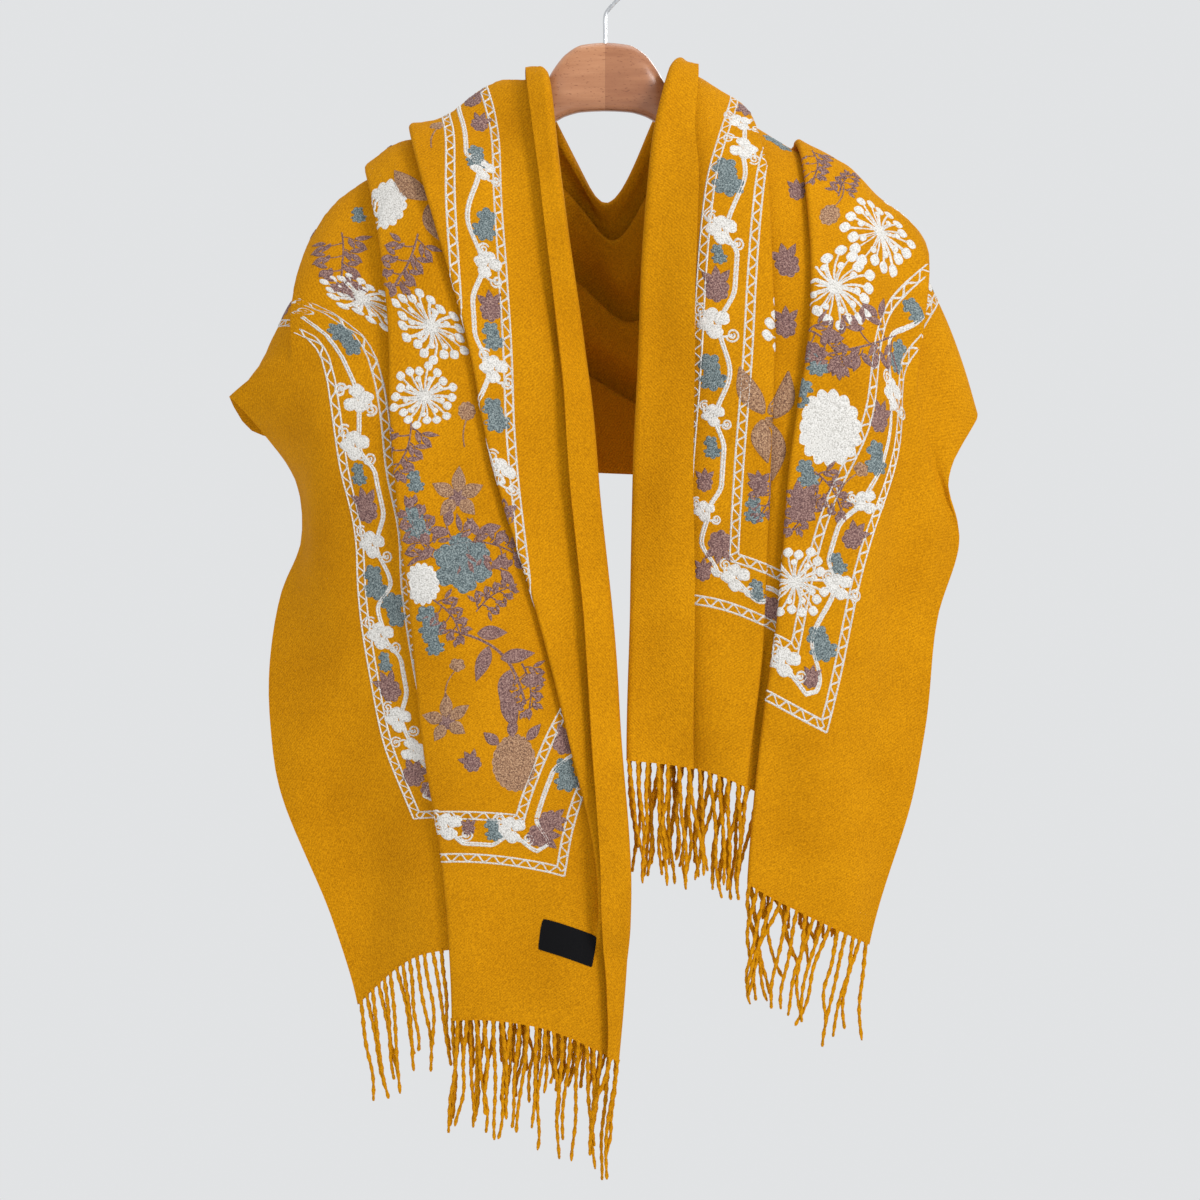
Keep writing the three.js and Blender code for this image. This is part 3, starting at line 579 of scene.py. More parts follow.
def folds_at(along):
    length = base_length(along)
    width = float(collar_width(along))
    roll = float(collar_gap(along)) / 2
    names = ("flap", "fall" if along < TURN_OVER else "return", "arm")
    folds = []
    for name in names:
        value = {column: float(curve(along)) for column, curve in pleat_curves[name].items()}
        outward = name != "return"
        crest = min(value["crest"], length - EDGE_CLEARANCE)
        free = crest - COLLAR_CLEARANCE if outward else length - crest - EDGE_CLEARANCE
        room = free + (HALF_TURN - 2) * value["radius"]
        folds.append({**value, "outward": outward, "crest": crest, "room": room, "depth": 0})
    collar_cloth = width + (HALF_TURN - 2) * roll
    share_out(folds, max((CLOTH_WIDTH - collar_cloth - length) / 2, 0))
    for fold in folds:
        shape_fold(fold)
    return length, width, roll, folds


def cover_of(along, index, folds, length):
    """How far out the cloth on top of an inward pleat has to stay raised."""
    step = folds[index]["step"]
    reach = folds[index]["reach"]
    if step == 0:
        return reach
    further_length, _, _, further = folds_at(along + step)
    return max(further[index]["reach"] / further_length * length, reach)


def line_across(along):
    """How far out, how high and how far shifted each point of a line across the cloth lies."""
    length, width, roll, folds = folds_at(along)
    covers = [cover_of(along, index, folds, length) for index in range(len(folds))]
    line = []

    def add(out, height, slide, ahead, passed):
        line.append((out, height, slide, ahead, passed))

    for k in range(STRIP_STEPS):
        add(width + (roll - width) * k / STRIP_STEPS, 2 * roll, 0, 0, 0)
    for k in range(ROLL_STEPS):
        angle = HALF_TURN * k / ROLL_STEPS
        add(roll * (1 - math.sin(angle)), roll * (1 + math.cos(angle)), 0, 0, 0)
    start = roll
    slide = 0
    for index, fold in enumerate(folds):
        radius = fold["radius"]
        turn = fold["turn"]
        top = fold["lift"] if fold["outward"] else 0
        down = -1 if fold["outward"] else 1
        for k in range(LEAD_STEPS[index]):
            add(start + (fold["start"] - start) * k / LEAD_STEPS[index], 0, slide, index, index)
        for k in range(TURN_STEPS):
            angle = turn * k / TURN_STEPS
            height = top + down * radius * (1 - math.cos(angle))
            add(fold["start"] + radius * math.sin(angle), height, slide, index + 1, index)
        bend_out = fold["start"] + radius * math.sin(turn)
        bend_height = top + down * radius * (1 - math.cos(turn))
        for k in range(LAYER_STEPS[index]):
            part = k / LAYER_STEPS[index]
            out = bend_out + fold["run"] * part * math.cos(turn)
            height = bend_height + down * fold["run"] * part * math.sin(turn)
            add(out, height, slide + fold["step"] * float(smooth(part)), index + 1, index)
        bottom = top + down * fold["lift"]
        for k in range(TURN_STEPS):
            angle = turn * (1 - k / TURN_STEPS)
            height = bottom - down * radius * (1 - math.cos(angle))
            add(fold["end"] - radius * math.sin(angle), height, slide + fold["step"], index + 1, index)
        slide += fold["step"]
        start = fold["end"]
    for k in range(TAIL_STEPS + 1):
        add(start + (length - start) * k / TAIL_STEPS, 0, slide, len(folds), len(folds))

    out, height, slides, ahead, passed = np.array(line).T
    above_roll = np.maximum(out, 2 * roll)
    for index, fold in enumerate(folds):
        cover = covers[index]
        if fold["outward"]:
            raised = smooth((above_roll - fold["reach"] + RAMP_MARGIN + RAMP_LENGTH) / RAMP_LENGTH)
            height = height + np.where(ahead <= index, fold["lift"] * raised, 0)
        else:
            raised = 1 - smooth((above_roll - cover - RAMP_MARGIN) / RAMP_LENGTH)
            height = height + np.where(passed > index, fold["lift"] * raised, 0)
    return spread(np.stack([out, height, slides], axis=1)), length


def spread(line):
    """Points stay a least step apart along the cloth. The fourth number is the place across it."""
    run = run_of(line[:, :2])
    wanted = run.copy()
    for k in range(1, len(wanted)):
        wanted[k] = max(wanted[k], wanted[k - 1] + LEAST_STEP)
    wanted[-1] = run[-1]
    for k in range(len(wanted) - 2, 0, -1):
        wanted[k] = min(wanted[k], wanted[k + 1] - LEAST_STEP)
    columns = [np.interp(wanted, run, line[:, axis]) for axis in range(3)]
    return np.stack([*columns, wanted / run[-1] * CLOTH_WIDTH], axis=1)


# Soft creases: long shallow waves in the hanging cloth, which fade where it lies on the hanger.
CREASES = table(("length", "width", "slant", "height"), [
    (610, 83, 0.21, 4.4),
    (370, 57, -0.32, 2.8),
    (240, 41, 0.45, 1.1),
])
CREASE_LEVEL = 0.55
CREASE_SWELL = 0.45
CREASE_FADE = 200
CREASE_REST = 0.15
HANGER_STRETCH = (760, 1440)


def crease_height(along, out):
    total = np.zeros_like(out)
    for row in CREASES:
        phase = out / row["width"] + row["slant"] * along / row["width"]
        swell = CREASE_LEVEL + CREASE_SWELL * np.sin(2 * math.pi * along / row["length"])
        total += row["height"] * swell * np.sin(math.pi * phase)
    first, last = HANGER_STRETCH
    free = smooth((first - along) / CREASE_FADE) + smooth((along - last) / CREASE_FADE)
    return total * (CREASE_REST + (1 - CREASE_REST) * free)


def crown_height(along, out):
    total = np.zeros_like(out)
    for curves in crown_curves:
        offset = (out - curves["centre"](along)) / curves["width"](along)
        total += curves["height"](along) * np.exp(-offset * offset)
    return total


# The cloth as a grid of points in the middle of its wall, from past one hem to past the other.

ROW_STEP = 8
GRID_MARGIN = 128
GRID_START = -GRID_MARGIN
GRID_END = CLOTH_LENGTH + GRID_MARGIN

row_places = np.arange(GRID_START, GRID_END + 1, ROW_STEP)


def cloth_grid():
    rows = []
    places = []
    for along in row_places:
        line, length = line_across(along)
        out, height, slide, across = line.T
        place = along + slide
        foot = look_up(base_points, place, out / length)
        facing = look_up(base_facing, place, out / length)
        raised = height + crown_height(place, out) + crease_height(place, out)
        rows.append(foot + facing * raised[:, None])
        places.append(across)
    return np.array(rows), np.array(places)


grid, across_at = cloth_grid()
facing = facing_of(grid)
columns = grid.shape[1]
column_keys = (across_at + 2 * CLOTH_WIDTH * np.arange(len(row_places))[:, None]).ravel()


def on_cloth(across, along, height):
    """Points on the hanging cloth, some height above the middle of its wall."""
    row = np.clip((along - GRID_START) / ROW_STEP, 0, len(row_places) - 1 - TINY)
    i = row.astype(int)
    part = row - i
    total = np.zeros((len(across), 3))
    for beside, weight in ((i, 1 - part), (i + 1, part)):
        key = np.clip(across, 0, CLOTH_WIDTH) + 2 * CLOTH_WIDTH * beside
        j = np.searchsorted(column_keys, key, side="right") - 1 - columns * beside
        j = np.clip(j, 0, columns - 2)
        first = across_at[beside, j]
        share = ((across - first) / (across_at[beside, j + 1] - first))[:, None]
        point = grid[beside, j] * (1 - share) + grid[beside, j + 1] * share
        normal = facing[beside, j] * (1 - share) + facing[beside, j + 1] * share
        total += weight[:, None] * (point + normal * height[:, None])
    return total


# Meshes

SHARP_ANGLE = math.radians(60)


def build(name, points, faces, material, flat=None):
    mesh = bpy.data.meshes.new(name)
    mesh.from_pydata((np.asarray(points) * UNIT).tolist(), [], np.asarray(faces).tolist())
    mesh.materials.append(material)
    mesh.shade_smooth()
    mesh.set_sharp_from_angle(angle=SHARP_ANGLE)
    if flat is not None:
        layer = mesh.uv_layers.new(name="flat")
        corners = np.empty(len(mesh.loops), dtype=int)
        mesh.loops.foreach_get("vertex_index", corners)
        layer.data.foreach_set("uv", (np.asarray(flat)[corners] * UNIT).ravel())
    piece = bpy.data.objects.new(name, mesh)
    bpy.context.scene.collection.objects.link(piece)
    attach(piece, "root")
    return piece


def quads(rows, width, first=0, closed=False):
    """Faces between the points of a grid. A closed grid's last column meets its first."""
    i, j = np.meshgrid(np.arange(rows - 1), np.arange(width if closed else width - 1), indexing="ij")
    beside = (j + 1) % width
    corners = [i * width + j, (i + 1) * width + j, (i + 1) * width + beside, i * width + beside]
    return first + np.stack(corners, axis=-1).reshape(-1, 4)


def end_cap(sides):
    """Faces that close the first ring of a tube."""
    k = np.arange(sides // 2 - 1)
    return np.stack([k + 1, k, sides - 1 - k, sides - 2 - k], axis=1)


def tube_faces(rings, sides):
    """Faces of a tube that is closed at both ends."""
    cap = end_cap(sides)
    return np.concatenate([quads(rings, sides, closed=True), cap, (rings - 1) * sides + cap[:, ::-1]])


def shell_faces(rows, width):
    """Faces of a closed wall: an outer side, an inner side and a rim."""
    side = rows * width
    outer = quads(rows, width)
    inner = quads(rows, width, side)[:, ::-1]
    top = np.arange(width)
    bottom = (rows - 1) * width + top
    left = np.arange(rows) * width
    right = left + width - 1
    rim = np.concatenate([top[::-1], left, bottom, right[::-1]])
    rim = rim[np.concatenate([[True], np.diff(rim) != 0])]
    following = np.roll(rim, -1)
    keep = rim != following
    rim = rim[keep]
    following = following[keep]
    band = np.stack([rim, rim + side, following + side, following], axis=1)
    return np.concatenate([outer, inner, band])


def shell(name, points, normals, wall, flat, material):
    rows, width = points.shape[:2]
    both = np.stack([points + normals * wall / 2, points - normals * wall / 2]).reshape(-1, 3)
    places = np.stack([flat, flat]).reshape(-1, 2)
    return build(name, both, shell_faces(rows, width), material, places)


def tube(centre, radii, sides, twist=None, lobes=0.0):
    """Rings of points round a line, with two lobes where it is a twisted strand."""
    tangent = unit(np.gradient(centre, axis=0))
    guide = np.array([0.0, 1.0, 0.0])
    across = unit(np.cross(tangent, guide))
    upward = np.cross(across, tangent)
    angle = np.linspace(0, 2 * math.pi, sides, endpoint=False)[None, :]
    turned = angle + (np.zeros(len(centre)) if twist is None else twist)[:, None]
    radius = radii[:, None] * (1 + lobes * np.cos(2 * angle))
    aside = (np.cos(turned) * radius)[..., None] * across[:, None]
    above = (np.sin(turned) * radius)[..., None] * upward[:, None]
    return (centre[:, None] + (aside + above)).reshape(-1, 3), tube_faces(len(centre), sides)


# Materials. Lengths in them are in metres, as the meshes are.


def new_material(name):
    material = bpy.data.materials.new(name)
    material.use_nodes = True
    nodes = material.node_tree.nodes
    return material, nodes, material.node_tree.links, nodes["Principled BSDF"]


def set_values(shader, **values):
    """Plain values of a shader, by its inputs' names with an underscore for each space."""
    for name, value in values.items():
        shader.inputs[name.replace("_", " ")].default_value = value


def noise(nodes, links, source, scale, detail, stretch=(1, 1, 1)):
    mapping = nodes.new("ShaderNodeMapping")
    mapping.inputs["Scale"].default_value = stretch
    texture = nodes.new("ShaderNodeTexNoise")
    texture.inputs["Scale"].default_value = scale
    texture.inputs["Detail"].default_value = detail
    links.new(source, mapping.inputs["Vector"])
    links.new(mapping.outputs["Vector"], texture.inputs["Vector"])
    return texture.outputs["Fac"]


def blend_colours(nodes, links, factor, stops):
    """A colour that runs through stops, each a place from 0 to 1 and a colour."""
    ramp = nodes.new("ShaderNodeValToRGB")
    elements = ramp.color_ramp.elements
    while len(elements) < len(stops):
        elements.new(0.5)
    for element, (place, colour) in zip(elements, stops):
        element.position = place
        element.color = (*colour, 1)
    links.new(factor, ramp.inputs["Fac"])
    return ramp.outputs["Color"]


def multiplied(nodes, links, first, second, amount=1):
    mix = nodes.new("ShaderNodeMix")
    mix.data_type = "RGBA"
    mix.blend_type = "MULTIPLY"
    mix.inputs["Factor"].default_value = amount
    links.new(first, mix.inputs["A"])
    links.new(second, mix.inputs["B"])
    return mix.outputs["Result"]


def bumped(nodes, links, shader, heights):
    """One bump on another: heights as (value, strength, distance)."""
    normal = None
    for value, strength, distance in heights:
        bump = nodes.new("ShaderNodeBump")
        bump.inputs["Strength"].default_value = strength
        bump.inputs["Distance"].default_value = distance
        links.new(value, bump.inputs["Height"])
        if normal is not None:
            links.new(normal, bump.inputs["Normal"])
        normal = bump.outputs["Normal"]
    links.new(normal, shader.inputs["Normal"])


WOOL_LIGHT = (0.66, 0.285, 0.003)
WOOL_DARK = (0.58, 0.24, 0.002)
WOOL_SHEEN = (1.0, 0.60, 0.12)
NAP_SHADES = ((0.32, (0.62, 0.57, 0.45)), (0.68, (1.06, 1.06, 1.06)))
NAP_BUMP = (0.7, 0.0008)
TWILL_SHADES = ((0.1, (0.84, 0.82, 0.76)), (0.6, (1, 1, 1)))
TWILL_BUMP = (0.35, 0.0004)


def wool(name, flat):
    """Mustard wool with a soft nap. On the flat cloth it shows its fine diagonal twill."""
    material, nodes, links, shader = new_material(name)
    place = nodes.new("ShaderNodeTexCoord")
    space = place.outputs["Object"]
    cloudy = noise(nodes, links, space, scale=14, detail=3)
    nap = noise(nodes, links, space, scale=620, detail=4)
    colour = blend_colours(nodes, links, cloudy, [(0.3, WOOL_DARK), (0.7, WOOL_LIGHT)])
    shade = blend_colours(nodes, links, nap, NAP_SHADES)
    colour = multiplied(nodes, links, colour, shade, amount=0.85)
    heights = [(nap, *NAP_BUMP)]
    if flat:
        twill = nodes.new("ShaderNodeTexWave")
        twill.bands_direction = "DIAGONAL"
        set_values(twill, Scale=200, Distortion=2.4, Detail=2, Detail_Scale=2)
        links.new(place.outputs["UV"], twill.inputs["Vector"])
        lines = blend_colours(nodes, links, twill.outputs["Fac"], TWILL_SHADES)
        colour = multiplied(nodes, links, colour, lines, amount=0.6)
        heights.append((twill.outputs["Fac"], *TWILL_BUMP))
    links.new(colour, shader.inputs["Base Color"])
    set_values(shader, Roughness=0.9, Specular_IOR_Level=0.06)
    set_values(shader, Sheen_Weight=0.06, Sheen_Roughness=0.45, Sheen_Tint=(*WOOL_SHEEN, 1))
    bumped(nodes, links, shader, heights)
    return material


# Dark, middle and light shades of each thread. The white thread's dark shade is painted shade between the
# chain loops, partly the yellow cloth that shows through.
THREAD_COLOURS = {
    "white": ((0.42, 0.40, 0.37), (0.66, 0.64, 0.60), (0.76, 0.74, 0.71)),
    "blue": ((0.05, 0.065, 0.07), (0.13, 0.17, 0.175), (0.28, 0.325, 0.325)),
    "mauve": ((0.09, 0.045, 0.045), (0.20, 0.105, 0.095), (0.38, 0.24, 0.20)),
    "tan": ((0.13, 0.065, 0.04), (0.31, 0.165, 0.09), (0.50, 0.31, 0.18)),
}


def thread_material(name):
    """Embroidery thread in a few shades mixed by noise: the coloured threads' own mottle, and in the
    white thread dark specks of painted shade between the chain loops, where the yellow cloth partly shows
    through.
    """
    material, nodes, links, shader = new_material(f"thread_{name}")
    space = nodes.new("ShaderNodeTexCoord").outputs["Object"]
    # This noise mixes the shades and raises the bump; in the white thread its dark specks are painted
    # shade.
    mottle_and_loop_shade = noise(nodes, links, space, scale=780, detail=2)
    dark, middle, light = THREAD_COLOURS[name]
    colour = blend_colours(nodes, links, mottle_and_loop_shade, [(0.34, dark), (0.5, middle), (0.66, light)])
    links.new(colour, shader.inputs["Base Color"])
    set_values(shader, Roughness=0.75, Specular_IOR_Level=0.25)
    bumped(nodes, links, shader, [(mottle_and_loop_shade, 0.8, 0.0007)])
    return material


def label_material():
    material, nodes, links, shader = new_material("black_satin")
    place = nodes.new("ShaderNodeTexCoord")
    weave = nodes.new("ShaderNodeTexWave")
    weave.bands_direction = "Y"
    set_values(weave, Scale=420, Distortion=0.4)
    links.new(place.outputs["UV"], weave.inputs["Vector"])
    stops = [(0.2, (0.0015, 0.0015, 0.002)), (0.8, (0.005, 0.005, 0.006))]
    colour = blend_colours(nodes, links, weave.outputs["Fac"], stops)
    links.new(colour, shader.inputs["Base Color"])
    set_values(shader, Roughness=0.6, Specular_IOR_Level=0.08)
    bumped(nodes, links, shader, [(weave.outputs["Fac"], 0.3, 0.0002)])
    return material


BEECH_LIGHT = (0.53, 0.245, 0.115)
BEECH_DARK = (0.40, 0.165, 0.07)
FLECK_SHADE = (0.55, 0.42, 0.33)
JOINT_SHADE = (0.25, 0.2, 0.17)
RIGHT_SHADE = (0.78, 0.70, 0.64)
JOINT_HALF = 0.0004


def beech():
    """Two halves of beech that meet in the middle: the left one a little lighter."""
    material, nodes, links, shader = new_material("beech")
    space = nodes.new("ShaderNodeTexCoord").outputs["Object"]
    grain = noise(nodes, links, space, scale=1, detail=4, stretch=(18, 160, 160))
    flecks = noise(nodes, links, space, scale=1, detail=1, stretch=(260, 900, 900))
    split = nodes.new("ShaderNodeSeparateXYZ")
    links.new(space, split.inputs["Vector"])
    side = nodes.new("ShaderNodeMapRange")
    set_values(side, From_Min=-JOINT_HALF, From_Max=JOINT_HALF)
    links.new(split.outputs["X"], side.inputs["Value"])
    wood = blend_colours(nodes, links, grain, [(0.3, BEECH_DARK), (0.7, BEECH_LIGHT)])
    stops = [(0.42, (1, 1, 1)), (0.5, JOINT_SHADE), (0.58, RIGHT_SHADE), (1.0, RIGHT_SHADE)]
    half = blend_colours(nodes, links, side.outputs["Result"], stops)
    dots = blend_colours(nodes, links, flecks, [(0.27, FLECK_SHADE), (0.36, (1, 1, 1))])
    colour = multiplied(nodes, links, multiplied(nodes, links, wood, half), dots)
    links.new(colour, shader.inputs["Base Color"])
    set_values(shader, Roughness=0.36, Coat_Weight=0.35, Coat_Roughness=0.25)
    bumped(nodes, links, shader, [(grain, 0.12, 0.0005)])
    return material


def steel():
    material, nodes, links, shader = new_material("steel")
    space = nodes.new("ShaderNodeTexCoord").outputs["Object"]
    drawn = noise(nodes, links, space, scale=1, detail=2, stretch=(900, 900, 60))
    rough = nodes.new("ShaderNodeMapRange")
    set_values(rough, To_Min=0.18, To_Max=0.34)
    links.new(drawn, rough.inputs["Value"])
    links.new(rough.outputs["Result"], shader.inputs["Roughness"])
    colour = blend_colours(nodes, links, drawn, [(0.3, (0.55, 0.56, 0.58)), (0.7, (0.68, 0.69, 0.70))])
    links.new(colour, shader.inputs["Base Color"])
    set_values(shader, Metallic=1)
    bumped(nodes, links, shader, [(drawn, 0.05, 0.0002)])
    return material


def pale_floor():
    material, nodes, links, shader = new_material("pale_floor")
    space = nodes.new("ShaderNodeTexCoord").outputs["Object"]
    grey = noise(nodes, links, space, scale=3, detail=2)
    colour = blend_colours(nodes, links, grey, [(0.0, (0.78, 0.79, 0.80)), (1.0, (0.82, 0.83, 0.84))])
    links.new(colour, shader.inputs["Base Color"])
    set_values(shader, Roughness=0.9)
    return material


# The shawl: one sheet of cloth

first_row = int(np.searchsorted(row_places, 0))
last_row = int(np.searchsorted(row_places, CLOTH_LENGTH))
cloth_rows = slice(first_row, last_row + 1)
flat_places = np.stack([across_at, np.broadcast_to(row_places[:, None], across_at.shape)], axis=-1)
wool_twill = wool("wool_twill", True)
cloth = shell(
    "shawl_cloth", grid[cloth_rows], facing[cloth_rows], CLOTH_WALL, flat_places[cloth_rows],
    wool_twill,
)
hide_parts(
    "shawl_left_front", "shawl_left_shoulder", "shawl_back",
    "shawl_right_shoulder", "shawl_right_front",
)


# Fringe: twisted strands that hang on from the hem

STRAND_STEPS = 50
STRAND_SIDES = 8
STRAND_LOBES = 0.22
STRAND_SHORTER = 16
STRAND_LONGER = 3
STRAND_WAVES = (1.4, 4.2)
STRAND_TURNS = (0.7, 1.6)
STRAND_DEPTH = 0.8
STRAND_DEPTH_WAVE = 0.9
STRAND_SHRINK = 0.02
STRAND_TAPER = 0.25
STRAND_UNEVEN = 0.08
STRAND_BUMPS = 37
STRAND_TIP = 0.55
ROOT_INSIDE = 2


def fringe(name, hem, outward, node, seed):
    chance = np.random.default_rng(seed)
    points = []
    faces = []
    share = np.linspace(0, 1, STRAND_STEPS)
    for strand in range(STRANDS_PER_HEM):
        across = (strand + 0.5) / STRANDS_PER_HEM * CLOTH_WIDTH
        length = FRINGE_LENGTH + FRINGE_SPREAD * math.sin(across)
        length += chance.uniform(-STRAND_SHORTER, STRAND_LONGER)
        lean = chance.normal(0, STRAND_SWAY)
        wave = chance.uniform(*STRAND_WAVES)
        angle = 2 * math.pi * chance.uniform(*STRAND_TURNS) * share
        phase = chance.uniform(0, 2 * math.pi)
        ripple = np.sin(angle + phase) - math.sin(phase)
        aside = across + (lean * share + wave * ripple * share)
        along = hem + outward * (length * share * (1 - STRAND_SHRINK * share) - ROOT_INSIDE)
        sink = chance.normal(0, STRAND_DEPTH) * share
        depth = sink + STRAND_DEPTH_WAVE * np.sin(angle + 2 * phase) * share
        centre = on_cloth(aside, along, depth)
        uneven = 1 + STRAND_UNEVEN * np.sin(STRAND_BUMPS * share + phase)
        taper = STRAND_RADIUS * (1 - STRAND_TAPER * share) * uneven
        taper[-1] *= STRAND_TIP
        twist = run_of(centre) / STRAND_PITCH * math.pi
        ring, sides = tube(centre, taper, STRAND_SIDES, twist, STRAND_LOBES)
        points.append(ring)
        faces.append(sides + STRAND_SIDES * STRAND_STEPS * strand)
    piece = build(name, np.concatenate(points), np.concatenate(faces), fringe_wool)
    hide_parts(node)
    return piece


fringe_wool = wool("wool_yarn", False)
left_fringe = fringe("fringe_left_strands", 0, -1, "fringe_left", 3)
right_fringe = fringe("fringe_right_strands", CLOTH_LENGTH, 1, "fringe_right", 5)


# Label: a bare black patch, parallel to the hem

LABEL_ROWS = 9
LABEL_COLUMNS = 15
LABEL_CORNER = 0.8
LABEL_POWER = 8


def label():
    rises = np.linspace(-1, 1, LABEL_ROWS)
    sides = np.linspace(-1, 1, LABEL_COLUMNS)
    rise, side = np.meshgrid(rises, sides, indexing="ij")
    tuck = LABEL_CORNER * (np.abs(rise) ** LABEL_POWER) * (np.abs(side) ** LABEL_POWER)
    across = LABEL_ACROSS + np.sign(side) * (np.abs(side) * LABEL_WIDTH / 2 - tuck / 2)
    along = LABEL_ALONG + np.sign(rise) * (np.abs(rise) * LABEL_HEIGHT / 2 - tuck / 2)
    lift = np.full(across.size, CLOTH_WALL / 2 + LABEL_GAP)
    points = on_cloth(across.ravel(), along.ravel(), lift).reshape(*across.shape, 3)
    flat = np.stack([across, along], axis=-1)
    piece = shell("label_patch", points, facing_of(points), LABEL_WALL, flat, label_material())
    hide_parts("label")
    return piece


label_patch = label()


# Embroidery drawn flat. A line is a row of chain stitch with its thread, points and width. A pad is a
# filled patch: rings of points from its rim inward. A motif's own points lie round its middle, with a
# size of 1 and its top towards the second axis.

PAD_SHARES = (1.0, 0.86, 0.5)
PAD_HEIGHTS = (-0.25, 0.5, 0.72)
LEAF_POINTS = 13
LEAF_ENDS = 0.01
LEAF_POWER = 0.8
LINE_POINTS = 12
SWIRL_POINTS = 24
SWIRL_NARROWING = 0.8
RING_POINTS = 40
LOBE_POINTS = 6
LEAST_POINTS = 24
RIBS_REACH = 0.46
TWIG_WIDTH = 1.8
STEM_WIDTH = 2.0
SPRAY_WIDTH = 2.2
CURL_WIDTH = 2.6


def stroke(thread, points, width=CHAIN_WIDTH):
    return thread, np.asarray(points, float), width


def pad(thread, outline):
    return [(thread, np.stack([outline(share) for share in PAD_SHARES]), 0)]


def oval(middle, across, up, angle):
    return np.stack([middle[0] + across * np.cos(angle), middle[1] + up * np.sin(angle)], axis=1)


def swirl(middle, radius, turns, start):
    part = np.linspace(0, 1, SWIRL_POINTS)
    reach = radius * (1 - SWIRL_NARROWING * part)
    return oval(middle, reach, reach, start + 2 * math.pi * turns * part)


def wavy(middle, across, up, waves, depth, share):
    """A closed wavy line round a middle, at a share of its full size."""
    angle = np.linspace(0, 2 * math.pi, RING_POINTS)
    reach = share * (1 + depth * np.sin(waves * angle))
    return oval(middle, across * reach, up * reach, angle)


def scalloped(thread, middle, across, up, lobes, depth, start=0.0):
    """A filled patch with a scalloped rim."""
    count = max(LOBE_POINTS * lobes, LEAST_POINTS)
    angle = np.arange(count) * 2 * math.pi / count + start
    dip = 1 - np.abs(np.cos(lobes * (angle - start) / 2))

    def outline(share):
        rim = share * (1 - depth * share * dip)
        return oval(middle, across * rim, up * rim, angle)

    return pad(thread, outline)


def pointed(thread, base, tip, breadth, bend=0.0):
    """A filled leaf with a point at each end, which may bend to one side."""
    base = np.array(base, float)
    axis = np.array(tip, float) - base
    side = np.array([-axis[1], axis[0]])
    side /= np.linalg.norm(side)
    part = np.linspace(LEAF_ENDS, 1 - LEAF_ENDS, LEAF_POINTS)
    bow = np.sin(math.pi * part ** LEAF_POWER)[:, None]
    spine = base + part[:, None] * axis + bend * np.sin(math.pi * part)[:, None] * side

    def outline(share):
        half = share * breadth / 2 * bow
        return np.concatenate([spine - half * side, (spine + half * side)[::-1]])

    return pad(thread, outline)


def ribbed(thread, base, tip, breadth, rows, bend=0.0):
    """A large leaf: a filled one with rows of stitches that follow its rim."""
    strokes = pointed(thread, base, tip, breadth, bend)
    _, rings, _ = strokes[0]
    left = rings[0][:LEAF_POINTS]
    right = rings[0][LEAF_POINTS:][::-1]
    for share in np.linspace(0.5 - RIBS_REACH, 0.5 + RIBS_REACH, rows):
        strokes.append(stroke(thread, left + share * (right - left), RIB_WIDTH))
    return strokes


def curved(start, end, bow):
    """A line from one point to another that bows out to one side."""
    start = np.array(start, float)
    axis = np.array(end, float) - start
    side = np.array([-axis[1], axis[0]])
    part = np.linspace(0, 1, LINE_POINTS)
    return start + part[:, None] * axis + (bow * np.sin(math.pi * part))[:, None] * side


def polar(reach, degrees):
    angle = math.radians(degrees)
    return reach * math.sin(angle), reach * math.cos(angle)


def blossom():
    """A white flower of the vine: rounded petals and two curls."""
    strokes = []
    for degrees, reach in ((-80, 0.24), (-15, 0.28), (50, 0.26), (175, 0.18)):
        middle = polar(reach, degrees)
        angle = math.radians(degrees)
        strokes += scalloped("white", middle, 0.24, 0.20, lobes=4, depth=0.16, start=angle)
        curl = swirl(middle, radius=0.19, turns=1.6, start=angle)
        strokes.append(stroke("white", curl, STEM_WIDTH))
    for degrees, bow in ((-42, 0.35), (118, -0.35)):
        tip = polar(0.54, degrees)
        strokes.append(stroke("white", curved((0, 0), tip, bow=bow), THICK_WIDTH))
        curl = swirl(tip, radius=0.19, turns=1.6, start=math.radians(90 + degrees))
        strokes.append(stroke("white", curl, CURL_WIDTH))
    return strokes


def tuft():
    """A small blue-grey flower: two scalloped patches, one above the other."""
    strokes = scalloped("blue", (0.04, -0.20), 0.42, 0.32, lobes=7, depth=0.30, start=0.3)
    strokes += scalloped("blue", (-0.05, 0.22), 0.33, 0.31, lobes=5, depth=0.32, start=0.8)
    return strokes


def bell():
    strokes = scalloped("mauve", (0, -0.06), 0.38, 0.40, lobes=7, depth=0.18, start=0.2)
    for degrees in (-40, 0, 40):
        strokes += pointed("mauve", polar(0.12, degrees), polar(0.60, degrees), breadth=0.26)
    return strokes


def bud():
    strokes = scalloped("tan", (0, 0.26), 0.26, 0.22, lobes=5, depth=0.20)
    strokes.append(stroke("tan", curved((0.05, -0.7), (0, 0.05), bow=0.1), STEM_WIDTH))
    return strokes


def berry():
    strokes = scalloped("tan", (0, 0.28), 0.26, 0.27, lobes=9, depth=0.12)
    strokes.append(stroke("tan", curved((0.04, -0.75), (0, 0.05), bow=0.08), STEM_WIDTH))
    return strokes


def round_flower():
    strokes = scalloped("white", (0, 0), 0.42, 0.50, lobes=15, depth=0.14)
    for share in (0.22, 0.45, 0.68):
        rim = wavy((0, 0), 0.40, 0.48, waves=9, depth=0.05, share=share)
        strokes.append(stroke("white", rim, THICK_WIDTH))
    return strokes


